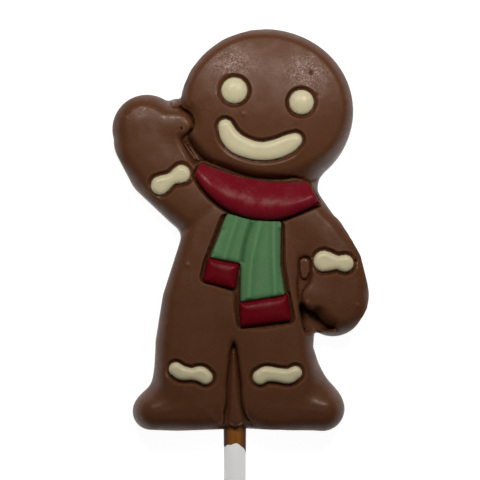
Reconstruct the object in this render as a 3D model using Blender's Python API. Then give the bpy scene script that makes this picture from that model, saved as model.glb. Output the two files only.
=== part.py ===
"""Waving gingerbread man lollipop of moulded chocolate, lying on its flat back.

The figure lies with its shown side up (+Z) and its head towards +Y. All the
sizes below are in millimetres on a plan with the stick's axis at x = 0 and the
soles at y = 0. At the end the lollipop is centred over its own footprint.
A round part of a limb is written as (x, y, radius), and a limb is a row of them.
"""

import math

import bmesh
import bpy
import numpy as np
from mathutils import Vector
from mathutils.geometry import delaunay_2d_cdt

MM = 0.001

# Paper stick
STICK_RADIUS = 2.25
STICK_LENGTH = 150.0
STICK_INSIDE = 38.0
STICK_AXIS_HEIGHT = 3.25
STICK_CHAMFER = 0.2
STICK_SIDES = 32
BORE_OVERRUN = 4.0
GAP = 0.3

# Heights over the flat back
BODY_TOP = 9.2
HEAD_TOP = 9.7
HEAD_DOME = 2.2
BODY_ROUNDING = 2.9
HEAD_ROUNDING = 2.4
NECK_LEVEL = 6.0
NECK_REACH = 3.0
THUMB_GAP = 0.3
THUMB_ROUNDING = 0.6
SHOULDER = 6.0
RIB_RISE = 1.3
RIB_ROUNDING = 1.0
PAD_SEAT = 0.9
PAD_ROUNDING = 0.35
RECESS_ROUNDING = 0.5
CREASE_REACH = 1.0
CREASE_ROUNDING = 1.2
CHIN_ROUNDING = 2.2

# Sides: height of the upright part where the wall is narrow, its fall as the
# wall widens, its least height and its steepness
SIDE_TALL = 7.4
SIDE_FALL = 2.4
SIDE_LOW = 3.4
SIDE_STEEPNESS = 40.0

# Outline of the flat back, the widest part of the mould
HEAD_BACK = (6.6, 66.35, 18.05, 16.8)
HEAD_BACK_TILT = -3.0
RAISED_ARM_BACK = [(-18.2, 62.5, 7.3), (-18.35, 60.0, 6.85), (-15.5, 54.6, 6.85), (-9.05, 48.25, 6.65)]
RAISED_WEB_BACK = [(-18.2, 62.5, 7.3), (-12.1, 65.9, 3.05)]
LEFT_LEG_BACK = [(-3.05, 41.5, 7.35), (-7.3, 26.4, 7.9), (-8.75, 17.95, 7.8), (-9.65, 12.2, 7.2)]
RIGHT_LEG_BACK = [(5.75, 41.75, 6.25), (7.55, 27.2, 9.5), (7.5, 16.5, 8.75), (9.75, 10.95, 8.25)]
FEET_BACK = [(-17.3, 4.15, 3.95), (-11.9, 3.95, 3.95), (9.5, 4.9, 4.15), (18.05, 4.7, 4.75)]
LOWERED_ARM_BACK = [(12.6, 48.2, 4.8), (15.6, 38.5, 8.0), (18.4, 33.55, 8.15), (19.6, 28.2, 8.25),
                    (20.4, 25.9, 6.35)]
LEG_WEB_BACK = [(-1.0, 12.5, 3.5), (-0.5, 4.85, 3.5)]
NECK_BACK = [(-10.0, 60.0, 2.4), (-6.0, 54.0, 5.0), (4.0, 50.0, 6.0), (11.8, 47.95, 4.8)]
LEG_BLEND = 1.3
ANKLE_BLEND = 5.4
ARMPIT_BLEND = 2.9
NECK_BLEND = 4.2
MITTEN_BLEND = 0.8

# Outline of the raised front
HEAD = (6.55, 67.5, 17.6, 15.45)
HEAD_TILT = -8.5
JOWL = [(-1.5, 63.0, 8.25)]
JOWL_BLEND = 1.5
RAISED_ARM = [(-18.75, 63.1, 5.85), (-17.7, 58.9, 6.45), (-13.45, 52.2, 5.75), (-7.8, 46.9, 5.35)]
RAISED_THUMB = [(-14.3, 62.85, 2.45), (-11.45, 63.9, 2.7)]
LEFT_LEG = [(-3.6, 41.4, 6.4), (-6.95, 26.75, 7.35), (-8.1, 16.85, 7.25), (-8.65, 9.65, 6.85)]
RIGHT_LEG = [(5.7, 41.6, 6.8), (5.95, 27.15, 6.95), (7.7, 16.85, 7.3), (8.9, 9.65, 7.55)]
BELLY = [(1.15, 40.55, 9.05), (-0.05, 29.2, 10.3)]
FLANK = [(11.0, 37.5, 2.0), (11.3, 33.0, 1.85)]
LEFT_FOOT = [(-16.35, 4.1, 3.2), (-6.85, 5.5, 4.65), (-4.3, 2.95, 2.1)]
RIGHT_FOOT = [(18.05, 4.3, 3.5), (6.75, 5.5, 4.65)]
LOWERED_ARM = [(14.6, 43.3, 5.0), (17.1, 39.9, 5.6), (20.6, 35.1, 5.55), (21.6, 30.25, 5.75),
               (21.8, 26.75, 5.55)]
LOWERED_THUMB = [(18.1, 28.2, 2.45), (16.45, 27.8, 2.7)]
NECK = [(-6.05, 52.95, 2.9), (3.25, 48.8, 4.55), (13.4, 48.4, 3.2)]
FRONT_BLEND = 0.8
BELLY_BLEND = 2.4
THUMB_BLEND = 1.6
INSTEP_BLEND = 2.9

# Low webs of chocolate that join the limbs, and the rib that covers the stick
LEG_WEB = [(-0.9, 24.0, -1.6), (-0.5, 16.0, 1.5), (0.05, 3.9, 3.0)]
RAISED_WEB = [(-10.3, 61.0, 1.0), (-9.75, 58.75, 1.2), (-7.1, 55.65, 1.8)]
ARMPIT_RECESS = [(14.5, 34.75, 1.35), (14.45, 32.6, 1.35)]
ARMPIT_WEB = ARMPIT_RECESS + [(13.5, 30.2, 0.9), (13.6, 27.6, 0.7), (14.0, 26.0, 0.7)]
MITTEN_WEB = [(14.6, 25.0, 0.9), (15.4, 23.4, 2.4), (18.5, 23.4, 2.3)]
WEB_DROPS = [(LEG_WEB, 0.0), (RAISED_WEB, -0.6), (ARMPIT_WEB, -1.2), (MITTEN_WEB, 2.4)]
WEB_FADE = 1.6
RIB = [(-0.3, 17.0, 0.45), (-0.25, 13.2, 0.75), (-0.15, 6.7, 1.15), (0.2, 2.7, 1.65)]

# Low pads in the webs: the row of each and its height
PADS = [([(14.3, 34.8, 1.05), (14.4, 33.2, 1.05), (14.3, 32.2, 0.75)], 8.5),
        ([(-10.1, 60.0, 0.5), (-9.25, 58.6, 0.75), (-7.85, 56.7, 0.8)], 7.6)]

# Inner joints, where the front doesn't round off towards the outline
INNER_JOINTS = ([(-12.6, 60.8, 6.2), (-11.8, 57.0, 6.6), (-8.0, 52.5, 6.6)],
                [(-0.5, 22.0, 7.0), (-0.2, 9.6, 7.0)],
                [(12.5, 42.0, 5.0), (14.2, 34.0, 5.8), (14.0, 28.5, 6.0)])
JOINT_FADE = 2.6

# White trims: eyes, smile and cuffs
EYE_LEFT = [(-0.1, 70.0, 2.7)]
EYE_RIGHT = [(13.65, 67.6, 2.55)]
SMILE = [(-2.2, 62.8, 1.45), (0.25, 59.7, 2.0), (5.65, 57.65, 1.95), (9.55, 58.3, 1.9), (12.55, 59.9, 1.35)]
WRIST_RAISED = [(-15.3, 50.7, 1.95), (-13.0, 52.0, 1.3), (-11.0, 53.0, 1.9)]
WRIST_LOWERED = [(18.35, 35.1, 2.2), (21.0, 34.8, 1.45), (22.6, 34.65, 1.8)]
ANKLE_LEFT = [(-12.1, 12.95, 1.45), (-10.9, 12.2, 1.5), (-8.8, 11.95, 1.25), (-7.1, 11.95, 1.6),
              (-6.0, 11.3, 1.5)]
ANKLE_RIGHT = [(5.2, 11.3, 1.55), (6.5, 11.95, 1.6), (8.8, 11.75, 1.45), (11.0, 11.5, 1.55),
               (12.4, 12.2, 1.4)]

# Scarf: a collar between two arcs, two green tails and their red ends
COLLAR_TOP_ARC = [(14.9, 51.45), (3.2, 51.95), (-7.05, 55.35)]
COLLAR_BOTTOM_ARC = [(-8.25, 52.6), (-1.9, 45.8), (9.8, 43.75)]
COLLAR_TIP = (17.65, 46.95)
COLLAR_CORNER = 0.5
SHORT_TAIL = [(-1.55, 44.9), (-5.2, 35.8), (1.5, 34.5), (6.0, 36.0), (6.0, 43.4), (3.6, 43.7)]
LONG_TAIL = [(3.2, 43.8), (1.2, 36.0), (1.1, 26.6), (10.35, 28.15), (9.4, 34.4), (9.5, 43.25)]
SHORT_END = [(-5.5, 36.0), (-6.6, 30.95), (0.0, 29.35), (0.95, 34.6)]
LONG_END = [(0.95, 27.0), (1.15, 21.6), (11.65, 22.95), (10.75, 28.6)]
TAIL_POCKET = [(-2.7, 44.8), (-6.4, 35.0), (-7.3, 31.1), (-0.4, 29.0), (-0.1, 25.1), (0.6, 21.2),
               (5.65, 21.1), (12.3, 22.3), (12.2, 24.5), (11.2, 29.2), (10.25, 35.0), (10.15, 43.2)]
TAIL_CORNER = 0.5
END_CORNER = 0.5
END_SEAM = 0.3
POCKET_CORNER = 1.2
TAIL_CREASE = [(3.75, 43.6), (2.8, 41.1), (2.0, 38.45), (1.4, 35.2)]
TAIL_CREASE_DEPTH = 0.8
TAIL_CREASE_WIDTH = 0.6

# Pockets in the chocolate: floor height, and how far each goes past its inlay
POCKET_WALL = 0.25
POCKET_LIP = 0.25
POCKET_RIM = 0.8
FACE_FLOOR = 9.2
CUFF_FLOOR = 7.4
SCARF_FLOOR = 7.0
EYE_GROOVE = 0.6
SMILE_GROOVE = 0.6
CUFF_GROOVE = 0.6
COLLAR_GROOVE = 0.55
CHIN_GROOVE_DEPTH = 0.9
CHIN_GROOVE_WIDTH = 0.45
CHIN_GROOVE_LEAD = 0.5

# Inlays: height of the rim, rise of the pillow above it and width of its rounding
EYE_PILLOW = (10.9, 1.2, 2.6)
SMILE_PILLOW = (10.4, 0.85, 1.5)
CUFF_PILLOW = (8.5, 0.9, 1.3)
COLLAR_PILLOW = (8.3, 2.1, 3.4)
COLLAR_END_ROUNDING = 1.2
COLLAR_END_LIFT = 0.3
TAIL_PILLOW = (8.2, 1.0, 1.2)
END_PILLOW = (8.2, 1.1, 1.2)

# Fineness of the surface; TRACE_CELL and FILL_CLEARANCE are shares of a step
SIDE_LEVELS = (0.0, -0.19, -0.75, -1.7)
OUTLINE_STEP = 1.0
POCKET_STEP = 0.8
FILL_STEP = 1.9
CREASE_STEP = 0.8
PAD_STEP = 0.5
RIB_PIECES = 10
INLAY_STEP = 0.8
INLAY_FILL = 1.0
TRACE_CELL = 0.25
FILL_CLEARANCE = 0.62
CRISP_ANGLE_DEG = 50.0

MATERIALS = {
    "milk_chocolate": ((0.093, 0.040, 0.021), 0.38),
    "white_chocolate": ((0.60, 0.55, 0.36), 0.42),
    "red_chocolate": ((0.145, 0.010, 0.018), 0.34),
    "green_chocolate": ((0.095, 0.215, 0.085), 0.38),
    "stick_paper": ((0.80, 0.78, 0.74), 0.75),
}


def limb(x, y, rounds):
    """Signed distance to a row of round parts joined by straight sides."""
    if len(rounds) == 1:
        cx, cy, radius = rounds[0]
        return np.hypot(x - cx, y - cy) - radius
    field = np.full(np.shape(x), np.inf)
    for (ax, ay, ar), (bx, by, br) in zip(rounds, rounds[1:]):
        dx, dy = bx - ax, by - ay
        along = np.clip(((x - ax) * dx + (y - ay) * dy) / (dx * dx + dy * dy), 0.0, 1.0)
        reach = ar + along * (br - ar)
        field = np.minimum(field, np.hypot(x - ax - along * dx, y - ay - along * dy) - reach)
    return field


def flowing(rounds, pieces=6):
    """The same row of round parts with soft bends between them."""
    row = np.array(rounds)
    ends = np.vstack([2 * row[0] - row[1], row, 2 * row[-1] - row[-2]])
    soft = []
    for before, a, b, after in zip(ends, ends[1:], ends[2:], ends[3:]):
        for t in np.arange(pieces) / pieces:
            pull = (b - before) * t + (2 * before - 5 * a + 4 * b - after) * t ** 2
            soft.append(a + 0.5 * (pull + (3 * a - before - 3 * b + after) * t ** 3))
    return [tuple(r) for r in soft] + [tuple(row[-1])]


def oval_share(x, y, sizes, tilt_deg):
    """How far out a point lies in a tilted ellipse, 1 at its edge."""
    cx, cy, long_radius, short_radius = sizes
    c, s = math.cos(math.radians(tilt_deg)), math.sin(math.radians(tilt_deg))
    u = (x - cx) * c + (y - cy) * s
    v = (y - cy) * c - (x - cx) * s
    return np.hypot(u / long_radius, v / short_radius)


def oval(x, y, sizes, tilt_deg):
    """Signed distance, close to true near the edge, to a tilted ellipse."""
    cx, cy, long_radius, short_radius = sizes
    c, s = math.cos(math.radians(tilt_deg)), math.sin(math.radians(tilt_deg))
    u = (x - cx) * c + (y - cy) * s
    v = (y - cy) * c - (x - cx) * s
    ratio = np.hypot(u / long_radius, v / short_radius)
    slope = np.hypot(u / long_radius ** 2, v / short_radius ** 2)
    return (ratio - 1.0) * ratio / np.maximum(slope, 1e-6)


def inset(corners, amount):
    """Corners of an anticlockwise outline moved inwards by an amount."""
    moved = []
    count = len(corners)
    for i in range(count):
        before, here, after = (np.array(corners[(i + k) % count], float) for k in (-1, 0, 1))
        first = (here - before) / np.linalg.norm(here - before)
        second = (after - here) / np.linalg.norm(after - here)
        inward = np.array([-first[1] - second[1], first[0] + second[0]])
        length = 1.0 + first @ second
        moved.append(here + inward * amount / length)
    return moved


def sheet(x, y, corners, rounding):
    """Signed distance to a flat outline with rounded outer corners."""
    core = inset(corners, rounding)
    nearest = np.full(np.shape(x), np.inf)
    inside = np.zeros(np.shape(x), bool)
    for a, b in zip(core, core[1:] + core[:1]):
        ex, ey = b - a
        along = np.clip(((x - a[0]) * ex + (y - a[1]) * ey) / (ex * ex + ey * ey), 0.0, 1.0)
        nearest = np.minimum(nearest, np.hypot(x - a[0] - along * ex, y - a[1] - along * ey))
        if ey != 0.0:
            crossing = (a[1] > y) != (b[1] > y)
            inside ^= crossing & (x < a[0] + (y - a[1]) * ex / ey)
    return np.where(inside, -nearest, nearest) - rounding


def circle_through(points):
    """Centre and radius of the circle through three points."""
    (ax, ay), (bx, by), (cx, cy) = points
    twice = 2.0 * (ax * (by - cy) + bx * (cy - ay) + cx * (ay - by))
    a2, b2, c2 = ax * ax + ay * ay, bx * bx + by * by, cx * cx + cy * cy
    ox = (a2 * (by - cy) + b2 * (cy - ay) + c2 * (ay - by)) / twice
    oy = (a2 * (cx - bx) + b2 * (ax - cx) + c2 * (bx - ax)) / twice
    return ox, oy, math.hypot(ax - ox, ay - oy)


def arc(points, count):
    """Evenly spaced points on the arc that runs through three points."""
    ox, oy, radius = circle_through(points)
    (ax, ay), _, (cx, cy) = points
    start = math.atan2(ay - oy, ax - ox)
    turn = math.remainder(math.atan2(cy - oy, cx - ox) - start, math.tau)
    angles = [start + turn * i / (count - 1) for i in range(count)]
    return [(ox + radius * math.cos(a), oy + radius * math.sin(a)) for a in angles]


def blend(a, b, width):
    """Union of two fields with a soft fillet between them."""
    overlap = np.maximum(width - np.abs(a - b), 0.0) / width
    return np.minimum(a, b) - overlap * overlap * width / 4.0


def meet(a, b, width):
    """Overlap of two fields with its corners rounded."""
    return -blend(-a, -b, width)


def rise(depth, rounding):
    """Quarter-round from 0 at the edge to 1 at the given depth inside it."""
    s = np.clip(depth / rounding, 0.0, 1.0)
    return np.sqrt(1.0 - (1.0 - s) ** 2)


def back_field(x, y):
    """Outline of the flat back."""
    legs = blend(limb(x, y, LEFT_LEG_BACK), limb(x, y, RIGHT_LEG_BACK), LEG_BLEND)
    body = blend(legs, limb(x, y, FEET_BACK), ANKLE_BLEND)
    body = np.minimum(body, limb(x, y, LEG_WEB_BACK))
    raised = np.minimum(limb(x, y, RAISED_ARM_BACK), limb(x, y, RAISED_WEB_BACK))
    body = blend(body, raised, ARMPIT_BLEND)
    body = np.minimum(body, limb(x, y, NECK_BACK))
    upper = blend(limb(x, y, LOWERED_ARM_BACK), oval(x, y, HEAD_BACK, HEAD_BACK_TILT), NECK_BLEND)
    return blend(body, upper, MITTEN_BLEND)


def body_field(x, y):
    """Outline of the raised front of the body and its limbs, without the head."""
    left = blend(limb(x, y, LEFT_LEG), limb(x, y, LEFT_FOOT), INSTEP_BLEND)
    right = blend(limb(x, y, RIGHT_LEG), limb(x, y, RIGHT_FOOT), INSTEP_BLEND)
    raised = blend(limb(x, y, RAISED_ARM), limb(x, y, RAISED_THUMB), THUMB_BLEND)
    lowered = blend(limb(x, y, LOWERED_ARM), limb(x, y, LOWERED_THUMB), THUMB_BLEND)
    field = blend(np.minimum(left, right), limb(x, y, BELLY), BELLY_BLEND)
    for part in (raised, lowered, limb(x, y, NECK), limb(x, y, FLANK)):
        field = blend(field, part, FRONT_BLEND)
    return meet(field, -limb(x, y, ARMPIT_RECESS), RECESS_ROUNDING)


def head_field(x, y):
    """Outline of the raised head, which makes way for the thumb beside it."""
    whole = blend(oval(x, y, HEAD, HEAD_TILT), limb(x, y, JOWL), JOWL_BLEND)
    return meet(whole, THUMB_GAP - limb(x, y, RAISED_THUMB), THUMB_ROUNDING)


def front_field(x, y):
    """Outline of everything that rises above the shoulder of the mould."""
    return np.minimum(body_field(x, y), head_field(x, y))


def shoulder_field(x, y):
    """Top of the side walls: the raised front together with the low webs."""
    field = front_field(x, y)
    for rounds, _ in WEB_DROPS:
        field = np.minimum(field, limb(x, y, rounds))
    return field


def side_field(x, y):
    """How far in a point lies from the rim, on a scale that fits the width of the wall."""
    back = back_field(x, y)
    wall = np.maximum(front_field(x, y) - back, 0.0)
    return back * BODY_ROUNDING / (wall + BODY_ROUNDING)


def crease_field(x, y):
    """The narrow places where the head meets the body and a limb meets a low web."""
    seam = np.maximum(body_field(x, y), head_field(x, y)) - CREASE_REACH
    webs = np.min([limb(x, y, rounds) for rounds, _ in WEB_DROPS], axis=0)
    webs = np.maximum(webs, -front_field(x, y) - CREASE_REACH)
    return np.maximum(np.minimum(seam, webs), shoulder_field(x, y))


def collar_outline():
    return arc(COLLAR_BOTTOM_ARC, 9) + [COLLAR_TIP] + arc(COLLAR_TOP_ARC, 7)


def collar_field(x, y):
    return sheet(x, y, collar_outline(), COLLAR_CORNER)


def tails_field(x, y):
    tails = np.minimum(sheet(x, y, SHORT_TAIL, TAIL_CORNER), sheet(x, y, LONG_TAIL, TAIL_CORNER))
    return meet(tails, GAP - collar_field(x, y), TAIL_CORNER)


def short_end_field(x, y):
    return meet(sheet(x, y, SHORT_END, END_CORNER), GAP - tails_field(x, y), END_SEAM)


def long_end_field(x, y):
    return meet(sheet(x, y, LONG_END, END_CORNER), GAP - tails_field(x, y), END_SEAM)


def scarf_pocket_field(x, y):
    collar = collar_field(x, y) - COLLAR_GROOVE
    whole = np.minimum(collar, sheet(x, y, TAIL_POCKET, POCKET_CORNER))
    return np.maximum(whole, back_field(x, y) + POCKET_RIM)


TRIMS = {
    "eye_left": (EYE_LEFT, EYE_GROOVE, FACE_FLOOR, EYE_PILLOW),
    "eye_right": (EYE_RIGHT, EYE_GROOVE, FACE_FLOOR, EYE_PILLOW),
    "smile": (flowing(SMILE), SMILE_GROOVE, FACE_FLOOR, SMILE_PILLOW),
    "wrist_trim_raised": (flowing(WRIST_RAISED), CUFF_GROOVE, CUFF_FLOOR, CUFF_PILLOW),
    "wrist_trim_lowered": (flowing(WRIST_LOWERED), CUFF_GROOVE, CUFF_FLOOR, CUFF_PILLOW),
    "ankle_trim_left": (flowing(ANKLE_LEFT), CUFF_GROOVE, CUFF_FLOOR, CUFF_PILLOW),
    "ankle_trim_right": (flowing(ANKLE_RIGHT), CUFF_GROOVE, CUFF_FLOOR, CUFF_PILLOW),
}


def row_field(rounds, groove=0.0):
    """Outline of a trim, or of the pocket that goes a little past it."""
    return lambda x, y: limb(x, y, rounds) - groove


POCKETS = [(row_field(rounds, groove), floor) for rounds, groove, floor, _ in TRIMS.values()]
POCKETS.append((scarf_pocket_field, SCARF_FLOOR))


def softly(share):
    """Smooth step from 0 to 1."""
    share = np.clip(share, 0.0, 1.0)
    return share * share * (3.0 - 2.0 * share)


def mound(x, y, front, top, rounding, level, crease):
    """A raised form: an upright side that rounds over to its top.

    Towards its neighbours the form comes down to a level of its own instead.
    """
    back = back_field(x, y)
    depth = np.maximum(-back, 0.0)
    wall = np.maximum(front - back, 0.0)
    side = np.clip(SIDE_TALL - SIDE_FALL * wall, SIDE_LOW, SIDE_TALL) / top
    first = 1.0 - np.sqrt(1.0 - side ** 2)
    share = first + (1.0 - first) * depth / (wall + rounding)
    joint = np.min([limb(x, y, row) for row in INNER_JOINTS], axis=0)
    outer = top * rise(share, 1.0)
    outer = outer + (top - outer) * softly(-joint / JOINT_FADE)
    outer = np.minimum(outer, SIDE_STEEPNESS * depth)
    return np.minimum(outer, level + (top - level) * rise(-front, crease))


def figure_height(x, y):
    """Height of the chocolate over its flat back."""
    head, body = head_field(x, y), body_field(x, y)
    level = np.full(np.shape(x), BODY_TOP)
    near = body
    for rounds, drop in WEB_DROPS:
        away = limb(x, y, rounds)
        near = np.minimum(near, away)
        low = BODY_TOP - (BODY_TOP - SHOULDER + drop) * softly(1.0 - away / WEB_FADE)
        level = np.minimum(level, low)
    flesh = mound(x, y, body, np.full(np.shape(x), BODY_TOP), BODY_ROUNDING, level, CREASE_ROUNDING)
    flesh -= CHIN_GROOVE_DEPTH * np.exp(-(head / CHIN_GROOVE_WIDTH) ** 2) * softly(CHIN_GROOVE_LEAD - body)

    top = HEAD_TOP + HEAD_DOME * np.maximum(1.0 - oval_share(x, y, HEAD, HEAD_TILT) ** 2, 0.0)
    level = top - (top - NECK_LEVEL) * softly(1.0 - near / WEB_FADE)
    skull = mound(x, y, head, top, HEAD_ROUNDING, level, CHIN_ROUNDING)
    height = np.where(head < NECK_REACH, np.maximum(flesh, skull), flesh)
    edge = limb(x, y, RIB)
    rib = mound(x, y, edge, SHOULDER + RIB_RISE, RIB_ROUNDING, SHOULDER, RIB_ROUNDING)
    height = np.where(edge < 0.0, np.maximum(height, rib), height)
    for rounds, pad_top in PADS:
        pad = pad_top - PAD_SEAT + PAD_SEAT * rise(-limb(x, y, rounds), PAD_ROUNDING)
        height = np.where(limb(x, y, rounds) < 0.0, np.maximum(height, pad), height)

    for field, floor in POCKETS:
        sunk = softly((POCKET_LIP - field(x, y)) / (POCKET_LIP + POCKET_WALL))
        height = np.minimum(height, height + (floor - height) * sunk)
    return height


def collar_height(x, y):
    """The collar: a cushion between its two arcs with a blunt right end."""
    rim, swell, rounding = COLLAR_PILLOW
    ox, oy, radius = circle_through(COLLAR_TOP_ARC)
    share = rise(np.abs(np.hypot(x - ox, y - oy) - radius), rounding)
    ox, oy, radius = circle_through(COLLAR_BOTTOM_ARC)
    share = share * rise(np.abs(np.hypot(x - ox, y - oy) - radius), rounding)
    (ax, ay), (bx, by) = COLLAR_TIP, COLLAR_TOP_ARC[0]
    length = math.hypot(bx - ax, by - ay)
    end = np.abs((x - ax) * (by - ay) - (y - ay) * (bx - ax)) / length
    share = share * rise(end + COLLAR_END_LIFT, COLLAR_END_ROUNDING)
    return rim + swell * share


def pillow_height(field, pillow):
    """Height of an inlay: a rim that swells to a soft pillow."""
    rim, swell, rounding = pillow
    return lambda x, y: rim + swell * rise(-field(x, y), rounding)


def fold_field(x, y):
    return limb(x, y, flowing([(px, py, 0.0) for px, py in TAIL_CREASE]))


def tails_height(x, y):
    """The two tails with the fold between them."""
    height = pillow_height(tails_field, TAIL_PILLOW)(x, y)
    return height - TAIL_CREASE_DEPTH * np.exp(-(fold_field(x, y) / TAIL_CREASE_WIDTH) ** 2)


def trace(field, level, step, window):
    """Closed loops along one level of a field, with evenly spaced points."""
    x0, x1, y0, y1 = window
    cell = TRACE_CELL * step
    xs = np.arange(x0, x1 + cell, cell)
    ys = np.arange(y0, y1 + cell, cell)
    gx, gy = np.meshgrid(xs, ys, indexing="ij")
    values = field(gx, gy) - level
    values[values == 0.0] = 1e-9
    links = {}

    def crossing(i, j, k, m):
        return ((i, j), (k, m)) if (values[i, j] > 0) != (values[k, m] > 0) else None

    signs = values > 0
    mixed = signs[:-1, :-1].astype(int) + signs[1:, :-1] + signs[1:, 1:] + signs[:-1, 1:]
    for i, j in np.argwhere((mixed > 0) & (mixed < 4)):
        sides = [crossing(i, j, i + 1, j), crossing(i + 1, j, i + 1, j + 1),
                 crossing(i, j + 1, i + 1, j + 1), crossing(i, j, i, j + 1)]
        sides = [s for s in sides if s]
        for a, b in zip(sides[::2], sides[1::2]):
            links.setdefault(a, []).append(b)
            links.setdefault(b, []).append(a)

    def place(side):
        (i, j), (k, m) = side
        t = values[i, j] / (values[i, j] - values[k, m])
        return (xs[i] + t * (xs[k] - xs[i]), ys[j] + t * (ys[m] - ys[j]))

    loops = []
    unused = set(links)
    for start in sorted(links):
        if start not in unused:
            continue
        path, here = [], start
        while here in unused:
            unused.discard(here)
            path.append(place(here))
            ahead = [s for s in links[here] if s in unused]
            if not ahead:
                break
            here = ahead[0]
        loops.append(even_loop(np.array(path), field, level, step))
    return [loop for loop in loops if len(loop) > 5]


def even_loop(path, field, level, step):
    """Points spaced evenly along a closed path and drawn onto the level."""
    closed = np.vstack([path, path[:1]])
    lengths = np.hypot(*np.diff(closed, axis=0).T)
    total = np.concatenate([[0.0], np.cumsum(lengths)])
    count = max(int(round(total[-1] / step)), 3)
    wanted = np.arange(count) * total[-1] / count
    x = np.interp(wanted, total, closed[:, 0])
    y = np.interp(wanted, total, closed[:, 1])
    tiny = 1e-3
    for _ in range(4):
        here = field(x, y) - level
        gx = (field(x + tiny, y) - field(x - tiny, y)) / (2 * tiny)
        gy = (field(x, y + tiny) - field(x, y - tiny)) / (2 * tiny)
        move = np.clip(here, -0.05, 0.05) / np.maximum(gx * gx + gy * gy, 0.25)
        x, y = x - move * gx, y - move * gy
    return np.stack([x, y], 1)


def window_of(field, search):
    """Rectangle round the inside of a field, found inside a larger one."""
    x0, x1, y0, y1 = search
    gx, gy = np.meshgrid(np.arange(x0, x1, 1.0), np.arange(y0, y1, 1.0), indexing="ij")
    inside = field(gx, gy) < 1.0
    return (gx[inside].min() - 2, gx[inside].max() + 2, gy[inside].min() - 2, gy[inside].max() + 2)


def far_from(points, others, distance):
    """The points that keep a distance from all the others."""
    keep = np.ones(len(points), bool)
    for i in range(0, len(points), 500):
        part = points[i:i + 500]
        gaps = np.hypot(part[:, None, 0] - others[None, :, 0], part[:, None, 1] - others[None, :, 1])
        keep[i:i + 500] = gaps.min(axis=1) > distance
    return points[keep]


def fill_points(field, window, step, others):
    """Staggered rows of points inside a field, clear of the loops."""
    x0, x1, y0, y1 = window
    rows = []
    for r, y in enumerate(np.arange(y0, y1, step * math.sqrt(0.75))):
        x = np.arange(x0 + (r % 2) * step / 2, x1, step)
        rows.append(np.stack([x, np.full(len(x), y)], 1))
    points = np.vstack(rows)
    points = points[field(points[:, 0], points[:, 1]) < -0.5 * step]
    return far_from(points, others, FILL_CLEARANCE * step)


def hidden_runs(field, level, step, window, cover, margin):
    """Stretches along a level of a field that lie well inside a wider shape."""
    runs = []
    for loop in trace(field, level, step, window):
        inside = cover(loop[:, 0], loop[:, 1]) < -margin
        if inside.all():
            runs.append(np.vstack([loop, loop[:1] + 1e-6]))
            continue
        start = int(np.argmin(inside))
        loop, inside = np.roll(loop, -start, axis=0), np.roll(inside, -start)
        breaks = np.flatnonzero(np.diff(inside.astype(int))) + 1
        runs += [run for run, ok in zip(np.split(loop, breaks), np.split(inside, breaks)) if ok[0]]
    return [run for run in runs if len(run) > 2]


def triangles_inside(loops, runs, points, outer):
    """Flat triangles inside the first loop that keep all the lines as edges."""
    coords, edges = [], []
    for line, closed in [(loop, True) for loop in loops] + [(run, False) for run in runs]:
        first, count = len(coords), len(line)
        coords.extend(Vector(p) for p in line)
        edges.extend((first + i, first + i + 1) for i in range(count - 1))
        if closed:
            edges.append((first + count - 1, first))
    coords.extend(Vector(p) for p in points)
    verts, _, faces, *_ = delaunay_2d_cdt(coords, edges, [], 1, 1e-5)
    plan = np.array([tuple(v) for v in verts])
    centres = np.array([plan[list(f)].mean(axis=0) for f in faces])
    inside = outer(centres[:, 0], centres[:, 1]) < 0.02
    return plan, [tuple(f) for f, ok in zip(faces, inside) if ok]


def rim_loop(faces):
    """The outer edge of a sheet of triangles, in order."""
    sides = {(a, b) for face in faces for a, b in zip(face, face[1:] + face[:1])}
    following = {a: b for a, b in sides if (b, a) not in sides}
    loop = [min(following)]
    while following[loop[-1]] != loop[0] and len(loop) < len(following):
        loop.append(following[loop[-1]])
    if len(loop) != len(following):
        raise ValueError("the outline is not one closed loop")
    return loop


def bend_chords(mesh, rim, height):
    """Edges that cut across from rim to rim get a middle point on the relief."""
    chords = [e for e in mesh.edges if len(e.link_faces) == 2 and rim.issuperset(e.verts)]
    for edge in chords:
        _, middle = bmesh.utils.edge_split(edge, edge.verts[0], 0.5)
        spot = np.array([[middle.co.x / MM], [middle.co.y / MM]])
        middle.co.z = float(height(*spot)[0]) * MM
    bmesh.ops.triangulate(mesh, faces=mesh.faces[:])


def moulded_solid(name, material, outline, height, lines, points, bottom, rim):
    """Closed solid with a relief on top, upright edges and a flat bottom."""
    plan, faces = triangles_inside(*lines, points, outline)
    loop = rim_loop(faces)
    tops = height(plan[:, 0], plan[:, 1])
    tops[loop] = rim
    mesh = bmesh.new()
    upper = [mesh.verts.new((x * MM, y * MM, z * MM)) for (x, y), z in zip(plan, tops)]
    for face in faces:
        mesh.faces.new([upper[i] for i in face])
    bend_chords(mesh, {upper[i] for i in loop}, height)
    lower = {i: upper[i] for i in loop}
    if rim > bottom:
        lower = {i: mesh.verts.new((plan[i][0] * MM, plan[i][1] * MM, bottom * MM)) for i in loop}
        for a, b in zip(loop, loop[1:] + loop[:1]):
            mesh.faces.new([upper[b], upper[a], lower[a], lower[b]])
    edges = [(i, (i + 1) % len(loop)) for i in range(len(loop))]
    _, _, under, source, *_ = delaunay_2d_cdt([Vector(plan[i]) for i in loop], edges, [], 1, 1e-7)
    for face in under:
        mesh.faces.new([lower[loop[source[i][0]]] for i in reversed(face)])
    bmesh.ops.triangulate(mesh, faces=mesh.faces[:])
    loose = [v for v in mesh.verts if not v.link_faces]
    bmesh.ops.delete(mesh, geom=loose, context="VERTS")
    bmesh.ops.recalc_face_normals(mesh, faces=mesh.faces[:])
    return finished(name, material, mesh)


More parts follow.
